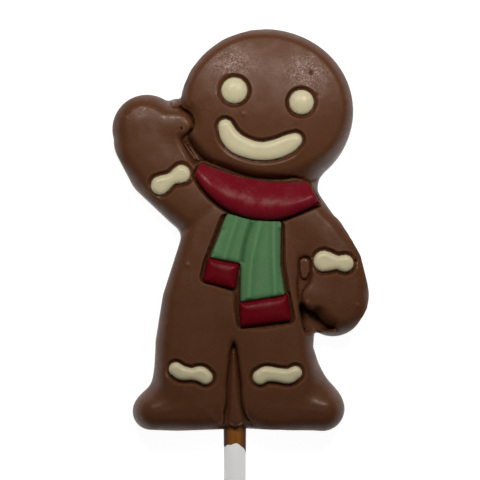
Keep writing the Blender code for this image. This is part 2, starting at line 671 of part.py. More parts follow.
def finished(name, material, mesh):
    """Named object with its material, smooth faces and crisp edges."""
    data = bpy.data.meshes.new(name)
    mesh.to_mesh(data)
    mesh.free()
    data.materials.append(materials[material])
    for face in data.polygons:
        face.use_smooth = True
    data.set_sharp_from_angle(angle=math.radians(CRISP_ANGLE_DEG))
    made = bpy.data.objects.new(name, data)
    bpy.context.scene.collection.objects.link(made)
    return made


def inlay(name, material, field, height, rim, bottom, fold=None):
    """One inlay that lies loose in its pocket."""
    window = window_of(field, PLAN)
    runs = []
    if fold:
        for level in (0.05, TAIL_CREASE_WIDTH):
            runs += hidden_runs(fold, level, INLAY_STEP, window, field, INLAY_STEP)
    loops = trace(field, 0.0, INLAY_STEP, window)
    for depth in (0.15, 0.5):
        loops += trace(field, -depth, INLAY_STEP, window)
    points = fill_points(field, window, INLAY_FILL, np.vstack(loops + runs))
    return moulded_solid(name, material, field, height, (loops, runs), points, bottom, rim)


def figure():
    """The chocolate body with its pockets and the bore for the stick."""
    loops = []
    for level in SIDE_LEVELS:
        loops += trace(side_field, level, OUTLINE_STEP, PLAN)
    for field, _ in POCKETS:
        for level in (POCKET_LIP, 0.0, -POCKET_WALL):
            loops += trace(field, level, POCKET_STEP, PLAN)
    runs = []
    for level in (0.0, -0.5, -1.5):
        runs += hidden_runs(head_field, level, OUTLINE_STEP, PLAN, front_field, OUTLINE_STEP / 2 - level)
    runs += hidden_runs(front_field, 0.0, POCKET_STEP, PLAN, shoulder_field, POCKET_STEP / 2)
    runs += hidden_runs(row_field(RIB), -0.3, POCKET_STEP, PLAN, shoulder_field, POCKET_STEP / 2)
    runs.append(np.array(flowing(RIB, RIB_PIECES))[:, :2])
    for rounds, _ in PADS:
        for level in (0.0, -PAD_ROUNDING / 2):
            runs += hidden_runs(row_field(rounds), level, PAD_STEP, PLAN, back_field, PAD_STEP)
    lines = np.vstack(loops + runs)
    creases = fill_points(crease_field, PLAN, CREASE_STEP, lines)
    lines = np.vstack([lines, creases])
    points = np.vstack([creases, fill_points(back_field, PLAN, FILL_STEP, lines)])
    body = moulded_solid("chocolate_figure", "milk_chocolate", back_field, figure_height,
                         (loops, runs), points, 0.0, 0.0)
    cutter = rod("bore", STICK_RADIUS + GAP, -BORE_OVERRUN, STICK_INSIDE + GAP, 0.0)
    cutter.hide_render = True
    cutter.display_type = "WIRE"
    cut = body.modifiers.new("bore", "BOOLEAN")
    cut.operation = "DIFFERENCE"
    cut.solver = "EXACT"
    cut.object = cutter
    return body


def rod(name, radius, start, end, chamfer):
    """Round rod along Y at the height of the stick's axis."""
    mesh = bmesh.new()
    rings = []
    stations = [(start, radius - chamfer), (start + chamfer, radius), (end - chamfer, radius),
                (end, radius - chamfer)]
    if chamfer == 0.0:
        stations = [(start, radius), (end, radius)]
    for y, r in stations:
        ring = []
        for i in range(STICK_SIDES):
            a = math.tau * i / STICK_SIDES
            height = STICK_AXIS_HEIGHT + r * math.sin(a)
            ring.append(mesh.verts.new((r * math.cos(a) * MM, y * MM, height * MM)))
        rings.append(ring)
    for one, two in zip(rings, rings[1:]):
        for i in range(STICK_SIDES):
            k = (i + 1) % STICK_SIDES
            mesh.faces.new([one[i], one[k], two[k], two[i]])
    mesh.faces.new(rings[0][::-1])
    mesh.faces.new(rings[-1])
    bmesh.ops.recalc_face_normals(mesh, faces=mesh.faces[:])
    return finished(name, "stick_paper", mesh)


def make_materials():
    made = {}
    for name, (colour, roughness) in MATERIALS.items():
        material = bpy.data.materials.new(name)
        material.use_nodes = True
        shader = material.node_tree.nodes["Principled BSDF"]
        shader.inputs["Base Color"].default_value = (*colour, 1.0)
        shader.inputs["Roughness"].default_value = roughness
        shader.inputs["Metallic"].default_value = 0.0
        made[name] = material
    return made


for old in list(bpy.data.objects):
    bpy.data.objects.remove(old, do_unlink=True)

materials = make_materials()
PLAN = window_of(back_field, (-60.0, 60.0, -20.0, 120.0))

figure()
for trim, (rounds, _, floor, pillow) in TRIMS.items():
    edge = row_field(rounds)
    inlay(trim, "white_chocolate", edge, pillow_height(edge, pillow), pillow[0], floor + GAP)
inlay("scarf_collar", "red_chocolate", collar_field, collar_height, COLLAR_PILLOW[0], SCARF_FLOOR + GAP)
for trim, edge in (("scarf_end_short", short_end_field), ("scarf_end_long", long_end_field)):
    inlay(trim, "red_chocolate", edge, pillow_height(edge, END_PILLOW), END_PILLOW[0], SCARF_FLOOR + GAP)
inlay("scarf_tails", "green_chocolate", tails_field, tails_height, TAIL_PILLOW[0], SCARF_FLOOR + GAP,
      fold_field)
rod("stick", STICK_RADIUS, STICK_INSIDE - STICK_LENGTH, STICK_INSIDE, STICK_CHAMFER)

# The whole is centred over its footprint
corners = [v.co for made in bpy.data.objects if not made.hide_render for v in made.data.vertices]
centre_x = (min(c.x for c in corners) + max(c.x for c in corners)) / 2
centre_y = (min(c.y for c in corners) + max(c.y for c in corners)) / 2
for made in bpy.data.objects:
    for v in made.data.vertices:
        v.co.x -= centre_x
        v.co.y -= centre_y
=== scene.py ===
"""Looks of the chocolate lollipop: fine relief, materials, lights and camera.

All sizes are in millimetres on the plan of the solids: the stick's axis at x = 0,
the soles at y = 0 and the flat back at height 0. A round part of a limb is
written as (x, y, radius), and a limb is a row of them.
"""

import math

import bpy
import numpy as np
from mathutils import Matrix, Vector
from mathutils.geometry import delaunay_2d_cdt
from mathutils.kdtree import KDTree


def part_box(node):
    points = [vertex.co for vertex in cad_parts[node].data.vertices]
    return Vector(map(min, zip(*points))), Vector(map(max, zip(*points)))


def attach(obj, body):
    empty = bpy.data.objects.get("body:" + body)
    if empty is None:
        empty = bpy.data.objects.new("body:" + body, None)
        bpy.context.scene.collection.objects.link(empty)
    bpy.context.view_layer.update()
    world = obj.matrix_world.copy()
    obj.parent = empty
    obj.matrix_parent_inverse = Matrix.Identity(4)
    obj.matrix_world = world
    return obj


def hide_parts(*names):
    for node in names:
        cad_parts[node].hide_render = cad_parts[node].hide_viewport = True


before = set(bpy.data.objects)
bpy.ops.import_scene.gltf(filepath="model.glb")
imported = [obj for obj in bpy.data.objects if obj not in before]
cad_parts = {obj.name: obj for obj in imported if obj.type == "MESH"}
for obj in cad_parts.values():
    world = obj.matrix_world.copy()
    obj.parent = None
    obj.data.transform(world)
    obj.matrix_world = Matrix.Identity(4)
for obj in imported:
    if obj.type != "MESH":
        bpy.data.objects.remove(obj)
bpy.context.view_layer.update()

MM = 0.001

# Paper stick
STICK_RADIUS = 2.25
STICK_LENGTH = 150.0
STICK_INSIDE = 38.0
STICK_AXIS_HEIGHT = 3.25
STICK_CHAMFER = 0.2
STICK_SIDES = 32
STICK_ROUND = 96
STICK_RINGS = 60
STICK_END_RINGS = 4
STICK_END_MARGIN = 1.0
BORE_RADIUS = 2.31
BORE_OVERRUN = 4.0
GAP = 0.3
SCARF_GAP = 0.08

# Heights over the flat back
BODY_TOP = 9.2
HEAD_TOP = 9.7
HEAD_DOME = 2.2
BODY_DOME = 0.42
DOME_REACH = 5.2
THUMB_MARGIN = 2.5
THUMB_SPREAD = 3.0
BODY_ROUNDING = 2.4
HEAD_ROUNDING = 2.1
SIDE_TALL = 7.6
SIDE_FALL = 2.4
SIDE_LOW = 3.4
SIDE_STEEPNESS = 40.0
CREASE_ROUNDING = 1.0
CHIN_ROUNDING = 2.2
NECK_LEVEL = 6.0
NECK_START = 1.5
NECK_REACH = 6.0
THUMB_GAP = 0.2
THUMB_REACH = 2.4
THUMB_CREASE = 0.7
THUMB_SHALLOWING = 0.5
THUMB_ROUNDING = 0.6
SHOULDER = 6.0
RIB_RISE = 1.3
RIB_ROUNDING = 1.0
PAD_SEAT = 0.9
PAD_ROUNDING = 0.35
RECESS_ROUNDING = 0.5

# Outline of the flat back, the widest part of the mould
HEAD_BACK = (6.6, 66.35, 18.05, 16.8)
HEAD_BACK_TILT = -3.0
RAISED_ARM_BACK = [(-18.2, 62.5, 7.3), (-18.35, 60.0, 6.85), (-15.5, 54.6, 6.85), (-9.05, 48.25, 6.65)]
RAISED_WEB_BACK = [(-18.2, 62.5, 7.3), (-12.1, 65.9, 3.05)]
LEFT_LEG_BACK = [(-3.05, 41.5, 7.35), (-7.3, 26.4, 7.9), (-8.75, 17.95, 7.8), (-9.65, 12.2, 7.2)]
RIGHT_LEG_BACK = [(5.75, 41.75, 6.25), (7.55, 27.2, 9.5), (7.5, 16.5, 8.75), (9.75, 10.95, 8.25)]
FEET_BACK = [(-17.3, 4.15, 3.95), (-11.9, 3.95, 3.95), (9.5, 4.9, 4.15), (18.05, 4.7, 4.75)]
LOWERED_ARM_BACK = [(12.6, 48.2, 4.8), (15.6, 38.5, 8.0), (18.4, 33.55, 8.15), (19.6, 28.2, 8.25),
                    (20.4, 25.9, 6.35)]
LEG_WEB_BACK = [(-1.0, 12.5, 3.5), (-0.5, 4.85, 3.5)]
NECK_BACK = [(-10.0, 60.0, 2.4), (-6.0, 54.0, 5.0), (4.0, 50.0, 6.0), (11.8, 47.95, 4.8)]
LEG_BLEND = 1.3
ANKLE_BLEND = 5.4
ARMPIT_BLEND = 2.9
NECK_BLEND = 4.2
MITTEN_BLEND = 0.8

# Outline of the raised front
HEAD = (6.55, 67.5, 17.6, 15.45)
HEAD_TILT = -8.5
JOWL = [(-1.5, 63.0, 8.25)]
JOWL_BLEND = 1.5
RAISED_ARM = [(-18.75, 63.1, 5.85), (-17.7, 58.9, 6.45), (-13.45, 52.2, 5.75), (-7.8, 46.9, 5.35)]
RAISED_THUMB = [(-14.3, 62.85, 2.45), (-11.5, 63.55, 2.8)]
LEFT_LEG = [(-3.6, 41.4, 6.4), (-6.95, 26.75, 7.35), (-8.1, 16.85, 7.25), (-8.65, 9.65, 6.85)]
RIGHT_LEG = [(5.7, 41.6, 6.8), (5.95, 27.15, 6.95), (7.7, 16.85, 7.3), (8.9, 9.65, 7.55)]
BELLY = [(1.15, 40.55, 9.05), (-0.05, 29.2, 10.3)]
FLANK = [(11.0, 37.5, 2.0), (11.3, 33.0, 1.85)]
LEFT_FOOT = [(-16.35, 4.1, 3.2), (-6.85, 5.5, 4.65), (-4.3, 2.95, 2.1)]
RIGHT_FOOT = [(18.05, 4.3, 3.5), (6.75, 5.5, 4.65)]
LOWERED_ARM = [(14.6, 43.3, 5.0), (17.1, 39.9, 5.6), (20.6, 35.1, 5.55), (21.6, 30.25, 5.75),
               (21.8, 26.75, 5.55)]
LOWERED_THUMB = [(18.1, 28.2, 2.45), (16.45, 27.8, 2.7), (15.75, 26.95, 1.95)]
NECK = [(-6.05, 52.95, 2.9), (3.25, 48.8, 4.55), (13.4, 48.4, 3.2)]
FRONT_BLEND = 0.8
BELLY_BLEND = 2.4
THUMB_BLEND = 1.6
INSTEP_BLEND = 2.9

# Low webs of chocolate that join the limbs, and the rib that covers the stick
LEG_WEB = [(-0.9, 24.0, -1.6), (-0.5, 16.0, 1.5), (0.05, 3.9, 3.0)]
RAISED_WEB = [(-10.3, 61.0, 1.0), (-9.75, 58.75, 1.2), (-7.1, 55.65, 1.8)]
ARMPIT_RECESS = [(14.5, 34.75, 1.35), (14.45, 32.6, 1.35)]
ARMPIT_WEB = ARMPIT_RECESS + [(13.5, 30.2, 0.9), (13.6, 27.6, 0.7), (14.0, 26.0, 0.7)]
MITTEN_WEB = [(14.6, 25.0, 0.9), (15.4, 23.4, 2.4), (18.5, 23.4, 2.3)]
WEB_DROPS = [(LEG_WEB, -0.7), (RAISED_WEB, -1.1), (ARMPIT_WEB, -1.8), (MITTEN_WEB, 1.5)]
WEB_FADE = 1.6
RIB = [(-0.3, 17.0, 0.45), (-0.25, 13.2, 0.75), (-0.15, 6.7, 1.15), (0.2, 2.7, 1.65)]

# Where the lowered mitten slopes down to its web, how far that spreads and how wide the slope is
MITTEN_SLOPE = [(18.6, 23.4, 1.2), (20.4, 21.5, 1.2)]
MITTEN_SLOPE_REACH = 3.0
MITTEN_SLOPE_WIDTH = 2.0

# Low pads in the webs: the row of each and its height
PADS = [([(14.3, 34.8, 1.05), (14.4, 33.2, 1.05), (14.3, 32.2, 0.75)], 8.65),
        ([(-10.75, 59.9, 0.2), (-9.5, 58.1, 0.28), (-8.1, 56.2, 0.32)], 7.7),
        ([(-10.0, 59.7, 0.2), (-8.75, 58.0, 0.28), (-7.45, 56.1, 0.32)], 7.7)]

# Air bubbles and specks: the place, the width and the rise of each
MARKS = [(15.7, 73.7, 0.3, -0.25), (16.7, 69.0, 0.3, -0.3), (24.75, 35.2, 0.32, -1.1),
         (-9.7, 34.35, 0.4, 0.2), (23.3, 67.75, 0.35, 0.2), (25.35, 26.15, 0.35, 0.2),
         (14.9, 26.75, 0.35, 0.2), (1.8, 65.1, 0.35, 0.15), (-22.6, 64.7, 0.4, 0.15)]

# Inner joints, where the front doesn't round off towards the outline
INNER_JOINTS = ([(-12.6, 60.8, 6.2), (-11.8, 57.0, 6.6), (-8.0, 52.5, 6.6)],
                [(-0.5, 22.0, 7.0), (-0.2, 9.6, 7.0)],
                [(12.5, 42.0, 5.0), (14.2, 34.0, 5.8), (14.0, 28.5, 6.0)])
JOINT_FADE = 2.6

# White trims: eyes, smile and cuffs
EYE_LEFT = [(-0.1, 70.0, 2.7)]
EYE_RIGHT = [(13.65, 67.6, 2.55)]
SMILE = [(-1.95, 62.65, 1.5), (-1.1, 60.7, 1.88), (0.55, 59.05, 2.03), (3.2, 57.95, 1.93),
         (5.7, 57.6, 1.9), (8.5, 58.05, 1.97), (10.9, 59.05, 1.9), (12.35, 59.87, 1.46)]
WRIST_RAISED = [(-15.3, 50.7, 1.95), (-13.0, 52.0, 1.3), (-11.0, 53.0, 1.9)]
WRIST_LOWERED = [(18.35, 35.1, 2.2), (21.0, 34.8, 1.45), (22.6, 34.65, 1.8)]
ANKLE_LEFT = [(-12.1, 12.95, 1.45), (-10.9, 12.2, 1.5), (-8.8, 11.95, 1.25), (-7.1, 11.95, 1.6),
              (-6.0, 11.3, 1.5)]
ANKLE_RIGHT = [(5.2, 11.3, 1.55), (6.5, 11.95, 1.6), (8.8, 11.75, 1.45), (11.0, 11.5, 1.55),
               (12.4, 12.2, 1.4)]

# Scarf: a collar between two arcs, two green tails and their red ends
COLLAR_TOP_ARC = [(14.9, 51.45), (3.2, 51.95), (-7.05, 55.35)]
COLLAR_BOTTOM_ARC = [(-8.25, 52.6), (-1.9, 45.8), (9.8, 43.75)]
COLLAR_TIP = (17.65, 46.95)
COLLAR_TOP_POINTS = 7
COLLAR_BOTTOM_POINTS = 9
SHORT_TAIL = [(-1.55, 44.9), (-5.2, 35.8), (1.5, 34.5), (6.0, 36.0), (6.0, 43.4), (3.6, 43.7)]
LONG_TAIL = [(3.2, 43.8), (1.2, 36.0), (1.1, 26.6), (10.35, 28.15), (9.4, 34.4), (9.5, 43.25)]
SHORT_END = [(-5.5, 36.0), (-6.6, 30.95), (0.0, 29.35), (0.95, 34.6)]
LONG_END = [(0.95, 27.0), (1.15, 21.6), (11.65, 22.95), (10.75, 28.6)]
TAIL_POCKET = [(-2.7, 44.8), (-6.4, 35.0), (-7.3, 31.1), (-0.4, 29.0), (-0.1, 25.1), (0.6, 21.2),
               (5.65, 21.1), (12.3, 22.3), (12.2, 24.5), (11.2, 29.2), (10.25, 35.0), (10.15, 43.2)]
SCARF_CORNER = 0.5
END_SEAM = 0.3
POCKET_CORNER = 1.2
TAIL_CREASE = [(3.75, 43.6), (2.8, 41.1), (2.0, 38.45), (1.4, 35.2)]
TAIL_CREASE_DEPTH = 0.8
TAIL_CREASE_WIDTH = 0.6

# Pockets in the chocolate: their lips and floors, and the groove below the chin
POCKET_LIP = 0.25
POCKET_RIM = 0.8
FACE_FLOOR = 9.2
CUFF_FLOOR = 7.4
SCARF_FLOOR = 7.0
COLLAR_GROOVE = 0.55
CHIN_GROOVE_DEPTH = 0.9
CHIN_GROOVE_WIDTH = 0.45
CHIN_GROOVE_LEAD = 0.5

# Inlays: height of the rim, rise of the pillow above it and width of its rounding
EYE_PILLOW = (10.9, 1.2, 2.6)
SMILE_PILLOW = (10.4, 0.85, 1.5)
CUFF_PILLOW = (8.5, 0.9, 1.3)
COLLAR_PILLOW = (8.3, 2.1, 2.6)
COLLAR_SLOPE = 5.5
COLLAR_END_ROUNDING = 1.2
COLLAR_END_LIFT = 0.3
TAIL_PILLOW = (8.2, 1.0, 1.2)
END_PILLOW = (8.2, 1.15, 2.1)

# Fineness of the surface; FILL_CLEARANCE and FILL_MARGIN are shares of a step
OUTLINE_STEP = 0.45
SEAT_STEP = 0.28
FILL_STEP = 0.34
INLAY_STEP = 0.25
INLAY_FILL = 0.27
TRACE_CELL = 0.25
FILL_CLEARANCE = 0.62
FILL_MARGIN = 0.3
CRISP_ANGLE_DEG = 42.0
BACK_LEVELS = (0.0, -0.11, -0.3)
FRONT_LEVELS = (-0.04, -0.15, -0.35, -0.7, -1.2)
INLAY_LEVELS = (0.0, 0.03, 0.12, 0.3, 0.6)
HEAD_LEVELS = (0.0, -0.1, -0.3, -0.7)
RIB_LEVELS = (0.0, -0.3, -0.8)
PAD_LEVELS = (0.0, -0.12, -0.35)
CREASE_LEVEL = 0.02

# Tracing of outlines: where they are looked for, the fewest points of a loop, and the steps
# that draw its points onto the level
SEARCH = (-60.0, 60.0, -20.0, 120.0)
FEWEST_POINTS = 6
DRAWS = 6
DRAW_LIMIT = 0.05
DRAW_PROBE = 1e-3
FLATTEST_SLOPE = 0.25

# How far inside the covering shape the hidden lines stay
HEAD_MARGIN = 0.2
FRONT_MARGIN = 0.15
RIB_MARGIN = 0.3
PAD_MARGIN = 0.5

# Soft unevenness of the moulded surfaces: the share and the cell of each layer of waves
WAVINESS = 0.035
INLAY_WAVINESS = 0.03
WAVE_LAYERS = ((0.6, 5.3), (0.3, 2.1), (0.1, 0.8))
FIGURE_SEED = 3
TAILS_SEED = 17
TRIM_SEED = 31
SCARF_SEED = 51

# Painted shade and highlight from the relief: how wide a ring each point is set against, and what gives the
# full tone
RING_POINTS = 8
RELIEF_REACH = 0.45
RELIEF_FULL = 0.22
HOLLOW_SHADE_REACH = 1.3
HOLLOW_SHADE_FULL = 2.4

# Seats of the inlays: width of the groove round each and of its floor, and its seam
GROOVE_WIDTH = 0.95
GROOVE_FLOOR = 0.4
SEAM = 0.05
SEAM_DROP = 0.2
SCARF_SEAM_HEIGHT = 7.6
SCARF_STEEPNESS = 1.5
GROOVE_LEVELS = (0.0, SEAM, GROOVE_FLOOR, 0.55, 0.7, GROOVE_WIDTH)
SCARF_LEVELS = (0.0, SEAM, 0.2, 0.4)

# Where the tails run on under the collar
TAIL_COVERED = 1.6
TAIL_COVER_EDGE = 41.4

# Low ridges along the hanging tails: the line, the rise and the width of each
RIDGES = [
    ([(5.9, 46.5), (5.0, 42.0), (4.1, 38.4), (3.3, 34.0), (2.9, 28.0)], 0.5, 0.8),
    ([(8.1, 46.5), (7.95, 41.0), (8.0, 35.0), (8.3, 28.0)], 0.42, 0.65),
    ([(1.2, 46.5), (0.0, 42.4), (-1.0, 39.5), (-2.4, 35.0)], 0.45, 0.75),
    ([(-1.6, 46.5), (-2.9, 41.5), (-4.2, 37.5)], 0.35, 0.6),
]

# Film of chocolate on the stick below the soles: a wave is its count, size and turn, and the
# profile pairs a share of the reach with the thickness there
FILM_TOP = 1.3
FILM_REACH = 4.4
FILM_LEAN = 0.4
FILM_WAVES = ((2, 0.72, 1.57), (3, 0.2, 2.0), (7, 0.1, 1.0))
FILM_PROFILE = ((0.0, 0.16), (0.15, 0.1), (0.5, 0.07), (0.88, 0.06), (0.97, 0.04), (1.0, 0.008),
                (0.5, 0.005), (0.0, 0.005))
FILM_THIN = (0.31, 0.11, 0.021)
FILM_THICK = (0.17, 0.055, 0.012)
FILM_EDGE = (0.045, 0.016, 0.007)

# Chocolates: the colour with painted shade for creases and hollows, the plain colour, the colour with a
# painted highlight for ridges, the roughness, the gloss, the share of it in the dullest patches, and the
# glow
CHOCOLATES = {
    "milk_chocolate": ((0.042, 0.014, 0.006), (0.089, 0.0315, 0.0125), (0.13, 0.049, 0.021),
                       0.36, 0.31, 0.7, 0.04),
    "white_chocolate": ((0.30, 0.24, 0.12), (0.55, 0.49, 0.305), (0.66, 0.60, 0.41),
                        0.36, 0.45, 0.6, 0.2),
    "red_chocolate": ((0.04, 0.001, 0.003), (0.148, 0.005, 0.011), (0.18, 0.009, 0.016),
                      0.30, 0.2, 0.2, 0.04),
    "green_chocolate": ((0.03, 0.08, 0.028), (0.084, 0.195, 0.080), (0.17, 0.33, 0.16),
                        0.32, 0.45, 0.4, 0.06),
    # A darker copy of the red chocolate, as painted shade for the scarf ends
    "shaded_red_chocolate": ((0.03, 0.0005, 0.002), (0.118, 0.002, 0.006), (0.15, 0.004, 0.009),
                           0.32, 0.13, 0.3, 0.04),
}

# Grain of the materials
GLINT = (1.0, 0.82, 0.72, 1.0)
GRAIN_SIZE = 0.4
GRAIN_DEPTH = 0.015
BUMP_SIZE = 2.4
BUMP_DEPTH = 0.05
CLOUD_SIZE = 6.0
GLOSS_PATCH_SIZE = 2.6
GLOW_DEPTH = 0.8
GLOW_SPREAD = (1.0, 0.55, 0.3)
NOISE_SPAN = (0.3, 0.7)
PLAIN_SPAN = (0.44, 0.56)
PAPER_FIBRE = 0.5
FILM_FIBRE = 0.7
FIBRE_STRETCH = 0.12
PAPER_DARK = (0.88, 0.86, 0.84)
PAPER_LIGHT = (0.94, 0.93, 0.91)
# Painted light: a faint glow that makes the paper stick brighter than the lamps light it
PAPER_PAINTED_GLOW = 0.13
FLOOR_CLOUD_SIZE = 120.0
FLOOR_DARK = (0.22, 0.22, 0.22)
FLOOR_LIGHT = (0.25, 0.25, 0.25)
FLOOR_GLOW = 0.96

# Light and camera; a lamp is its name, place, size and watts
SKY_HORIZON = 0.05
SKY_ZENITH = 0.07
LAMP_AIM = (1.0, 45.0, 0.0)
FLOOR_SIZE_M = 3.0
LAMPS = (
    ("lamp_left", (-29.5, 130.5, 151.4), 38.0, 0.12),
    ("lamp_right", (51.5, 121.4, 151.4), 38.0, 0.12),
    ("panel", (4.0, 150.0, 200.0), 130.0, 0.03),
)
CAMERA_EYE = (1.07, 29.65, 520.0)
CAMERA_AIM = (1.07, 39.65, 0.0)
CAMERA_LENS = 186.9
CAMERA_SENSOR = 36.0
CAMERA_NEAR_M = 0.01


def limb(x, y, rounds):
    """Signed distance to a row of round parts joined by straight sides."""
    if len(rounds) == 1:
        cx, cy, radius = rounds[0]
        return np.hypot(x - cx, y - cy) - radius
    field = np.full(np.shape(x), np.inf)
    for (ax, ay, ar), (bx, by, br) in zip(rounds, rounds[1:]):
        dx, dy = bx - ax, by - ay
        along = np.clip(((x - ax) * dx + (y - ay) * dy) / (dx * dx + dy * dy), 0.0, 1.0)
        reach = ar + along * (br - ar)
        field = np.minimum(field, np.hypot(x - ax - along * dx, y - ay - along * dy) - reach)
    return field


def flowing(rounds, pieces=6):
    """The same row of round parts with soft bends between them."""
    row = np.array(rounds)
    ends = np.vstack([2 * row[0] - row[1], row, 2 * row[-1] - row[-2]])
    soft = []
    for before, a, b, after in zip(ends, ends[1:], ends[2:], ends[3:]):
        for t in np.arange(pieces) / pieces:
            pull = (b - before) * t + (2 * before - 5 * a + 4 * b - after) * t ** 2
            soft.append(a + 0.5 * (pull + (3 * a - before - 3 * b + after) * t ** 3))
    return [tuple(r) for r in soft] + [tuple(row[-1])]


def oval_axes(x, y, sizes, tilt_deg):
    """Distances from the centre of a tilted ellipse along its two axes."""
    c, s = math.cos(math.radians(tilt_deg)), math.sin(math.radians(tilt_deg))
    cx, cy = sizes[:2]
    return (x - cx) * c + (y - cy) * s, (y - cy) * c - (x - cx) * s


def oval_share(x, y, sizes, tilt_deg):
    """How far out a point lies in a tilted ellipse, 1 at its edge."""
    u, v = oval_axes(x, y, sizes, tilt_deg)
    return np.hypot(u / sizes[2], v / sizes[3])


def oval(x, y, sizes, tilt_deg):
    """Signed distance, close to true near the edge, to a tilted ellipse."""
    long_radius, short_radius = sizes[2:]
    u, v = oval_axes(x, y, sizes, tilt_deg)
    ratio = np.hypot(u / long_radius, v / short_radius)
    slope = np.hypot(u / long_radius ** 2, v / short_radius ** 2)
    return (ratio - 1.0) * ratio / np.maximum(slope, 1e-6)


def inset(corners, amount):
    """Corners of an anticlockwise outline moved inwards by an amount."""
    moved = []
    count = len(corners)
    for i in range(count):
        before, here, after = (np.array(corners[(i + k) % count], float) for k in (-1, 0, 1))
        first = (here - before) / np.linalg.norm(here - before)
        second = (after - here) / np.linalg.norm(after - here)
        inward = np.array([-first[1] - second[1], first[0] + second[0]])
        length = 1.0 + first @ second
        moved.append(here + inward * amount / length)
    return moved


def sheet(x, y, corners, rounding=SCARF_CORNER):
    """Signed distance to a flat outline with rounded outer corners."""
    core = inset(corners, rounding)
    nearest = np.full(np.shape(x), np.inf)
    inside = np.zeros(np.shape(x), bool)
    for a, b in zip(core, core[1:] + core[:1]):
        ex, ey = b - a
        along = np.clip(((x - a[0]) * ex + (y - a[1]) * ey) / (ex * ex + ey * ey), 0.0, 1.0)
        nearest = np.minimum(nearest, np.hypot(x - a[0] - along * ex, y - a[1] - along * ey))
        if ey != 0.0:
            crossing = (a[1] > y) != (b[1] > y)
            inside ^= crossing & (x < a[0] + (y - a[1]) * ex / ey)
    return np.where(inside, -nearest, nearest) - rounding


def circle_through(points):
    """Centre and radius of the circle through three points."""
    (ax, ay), (bx, by), (cx, cy) = points
    twice = 2.0 * (ax * (by - cy) + bx * (cy - ay) + cx * (ay - by))
    a2, b2, c2 = ax * ax + ay * ay, bx * bx + by * by, cx * cx + cy * cy
    ox = (a2 * (by - cy) + b2 * (cy - ay) + c2 * (ay - by)) / twice
    oy = (a2 * (cx - bx) + b2 * (ax - cx) + c2 * (bx - ax)) / twice
    return ox, oy, math.hypot(ax - ox, ay - oy)


def arc_distance(x, y, points):
    """Distance from the circle through three points."""
    ox, oy, radius = circle_through(points)
    return np.abs(np.hypot(x - ox, y - oy) - radius)


def arc(points, count):
    """Evenly spaced points on the arc that runs through three points."""
    ox, oy, radius = circle_through(points)
    (ax, ay), _, (cx, cy) = points
    start = math.atan2(ay - oy, ax - ox)
    turn = math.remainder(math.atan2(cy - oy, cx - ox) - start, math.tau)
    angles = [start + turn * i / (count - 1) for i in range(count)]
    return [(ox + radius * math.cos(a), oy + radius * math.sin(a)) for a in angles]


def blend(a, b, width):
    """Union of two fields with a soft fillet between them."""
    overlap = np.maximum(width - np.abs(a - b), 0.0) / width
    return np.minimum(a, b) - overlap * overlap * width / 4.0


def meet(a, b, width):
    """Overlap of two fields with its corners rounded."""
    return -blend(-a, -b, width)


def rise(depth, rounding):
    """Quarter-round from 0 at the edge to 1 at the given depth inside it."""
    s = np.clip(depth / rounding, 0.0, 1.0)
    return np.sqrt(1.0 - (1.0 - s) ** 2)


def back_field(x, y):
    """Outline of the flat back."""
    legs = blend(limb(x, y, LEFT_LEG_BACK), limb(x, y, RIGHT_LEG_BACK), LEG_BLEND)
    body = blend(legs, limb(x, y, FEET_BACK), ANKLE_BLEND)
    body = np.minimum(body, limb(x, y, LEG_WEB_BACK))
    raised = np.minimum(limb(x, y, RAISED_ARM_BACK), limb(x, y, RAISED_WEB_BACK))
    body = blend(body, raised, ARMPIT_BLEND)
    body = np.minimum(body, limb(x, y, NECK_BACK))
    upper = blend(limb(x, y, LOWERED_ARM_BACK), oval(x, y, HEAD_BACK, HEAD_BACK_TILT), NECK_BLEND)
    return blend(body, upper, MITTEN_BLEND)


def body_field(x, y):
    """Outline of the raised front of the body and its limbs, without the head."""
    left = blend(limb(x, y, LEFT_LEG), limb(x, y, LEFT_FOOT), INSTEP_BLEND)
    right = blend(limb(x, y, RIGHT_LEG), limb(x, y, RIGHT_FOOT), INSTEP_BLEND)
    raised = blend(limb(x, y, RAISED_ARM), limb(x, y, RAISED_THUMB), THUMB_BLEND)
    lowered = blend(limb(x, y, LOWERED_ARM), limb(x, y, LOWERED_THUMB), THUMB_BLEND)
    field = blend(np.minimum(left, right), limb(x, y, BELLY), BELLY_BLEND)
    for part in (raised, lowered, limb(x, y, NECK), limb(x, y, FLANK)):
        field = blend(field, part, FRONT_BLEND)
    return meet(field, -limb(x, y, ARMPIT_RECESS), RECESS_ROUNDING)


def head_field(x, y):
    """Outline of the raised head, which makes way for the thumb beside it."""
    whole = blend(oval(x, y, HEAD, HEAD_TILT), limb(x, y, JOWL), JOWL_BLEND)
    return meet(whole, THUMB_GAP - limb(x, y, RAISED_THUMB), THUMB_ROUNDING)


def front_field(x, y):
    """Outline of everything that rises above the shoulder of the mould."""
    return np.minimum(body_field(x, y), head_field(x, y))


def shoulder_field(x, y):
    """Top of the side walls: the raised front together with the low webs."""
    field = front_field(x, y)
    for rounds, _ in WEB_DROPS:
        field = np.minimum(field, limb(x, y, rounds))
    return field


def collar_outline():
    """Corners of the collar: its lower arc, its blunt tip and its upper arc."""
    bottom = arc(COLLAR_BOTTOM_ARC, COLLAR_BOTTOM_POINTS)
    return bottom + [COLLAR_TIP] + arc(COLLAR_TOP_ARC, COLLAR_TOP_POINTS)


def collar_field(x, y):
    return sheet(x, y, collar_outline())


def tails_field(x, y):
    """Outline of the two green tails, which stop at the collar."""
    tails = np.minimum(sheet(x, y, SHORT_TAIL), sheet(x, y, LONG_TAIL))
    return meet(tails, SCARF_GAP - collar_field(x, y), SCARF_CORNER)


def end_field(corners):
    """Outline of one red end of the scarf, which stops at its tail."""
    return lambda x, y: meet(sheet(x, y, corners), SCARF_GAP - tails_field(x, y), END_SEAM)


def scarf_field(x, y):
    """Outline of the whole scarf."""
    tails = np.minimum(collar_field(x, y), tails_field(x, y))
    return np.minimum(tails, np.minimum(end_field(SHORT_END)(x, y), end_field(LONG_END)(x, y)))


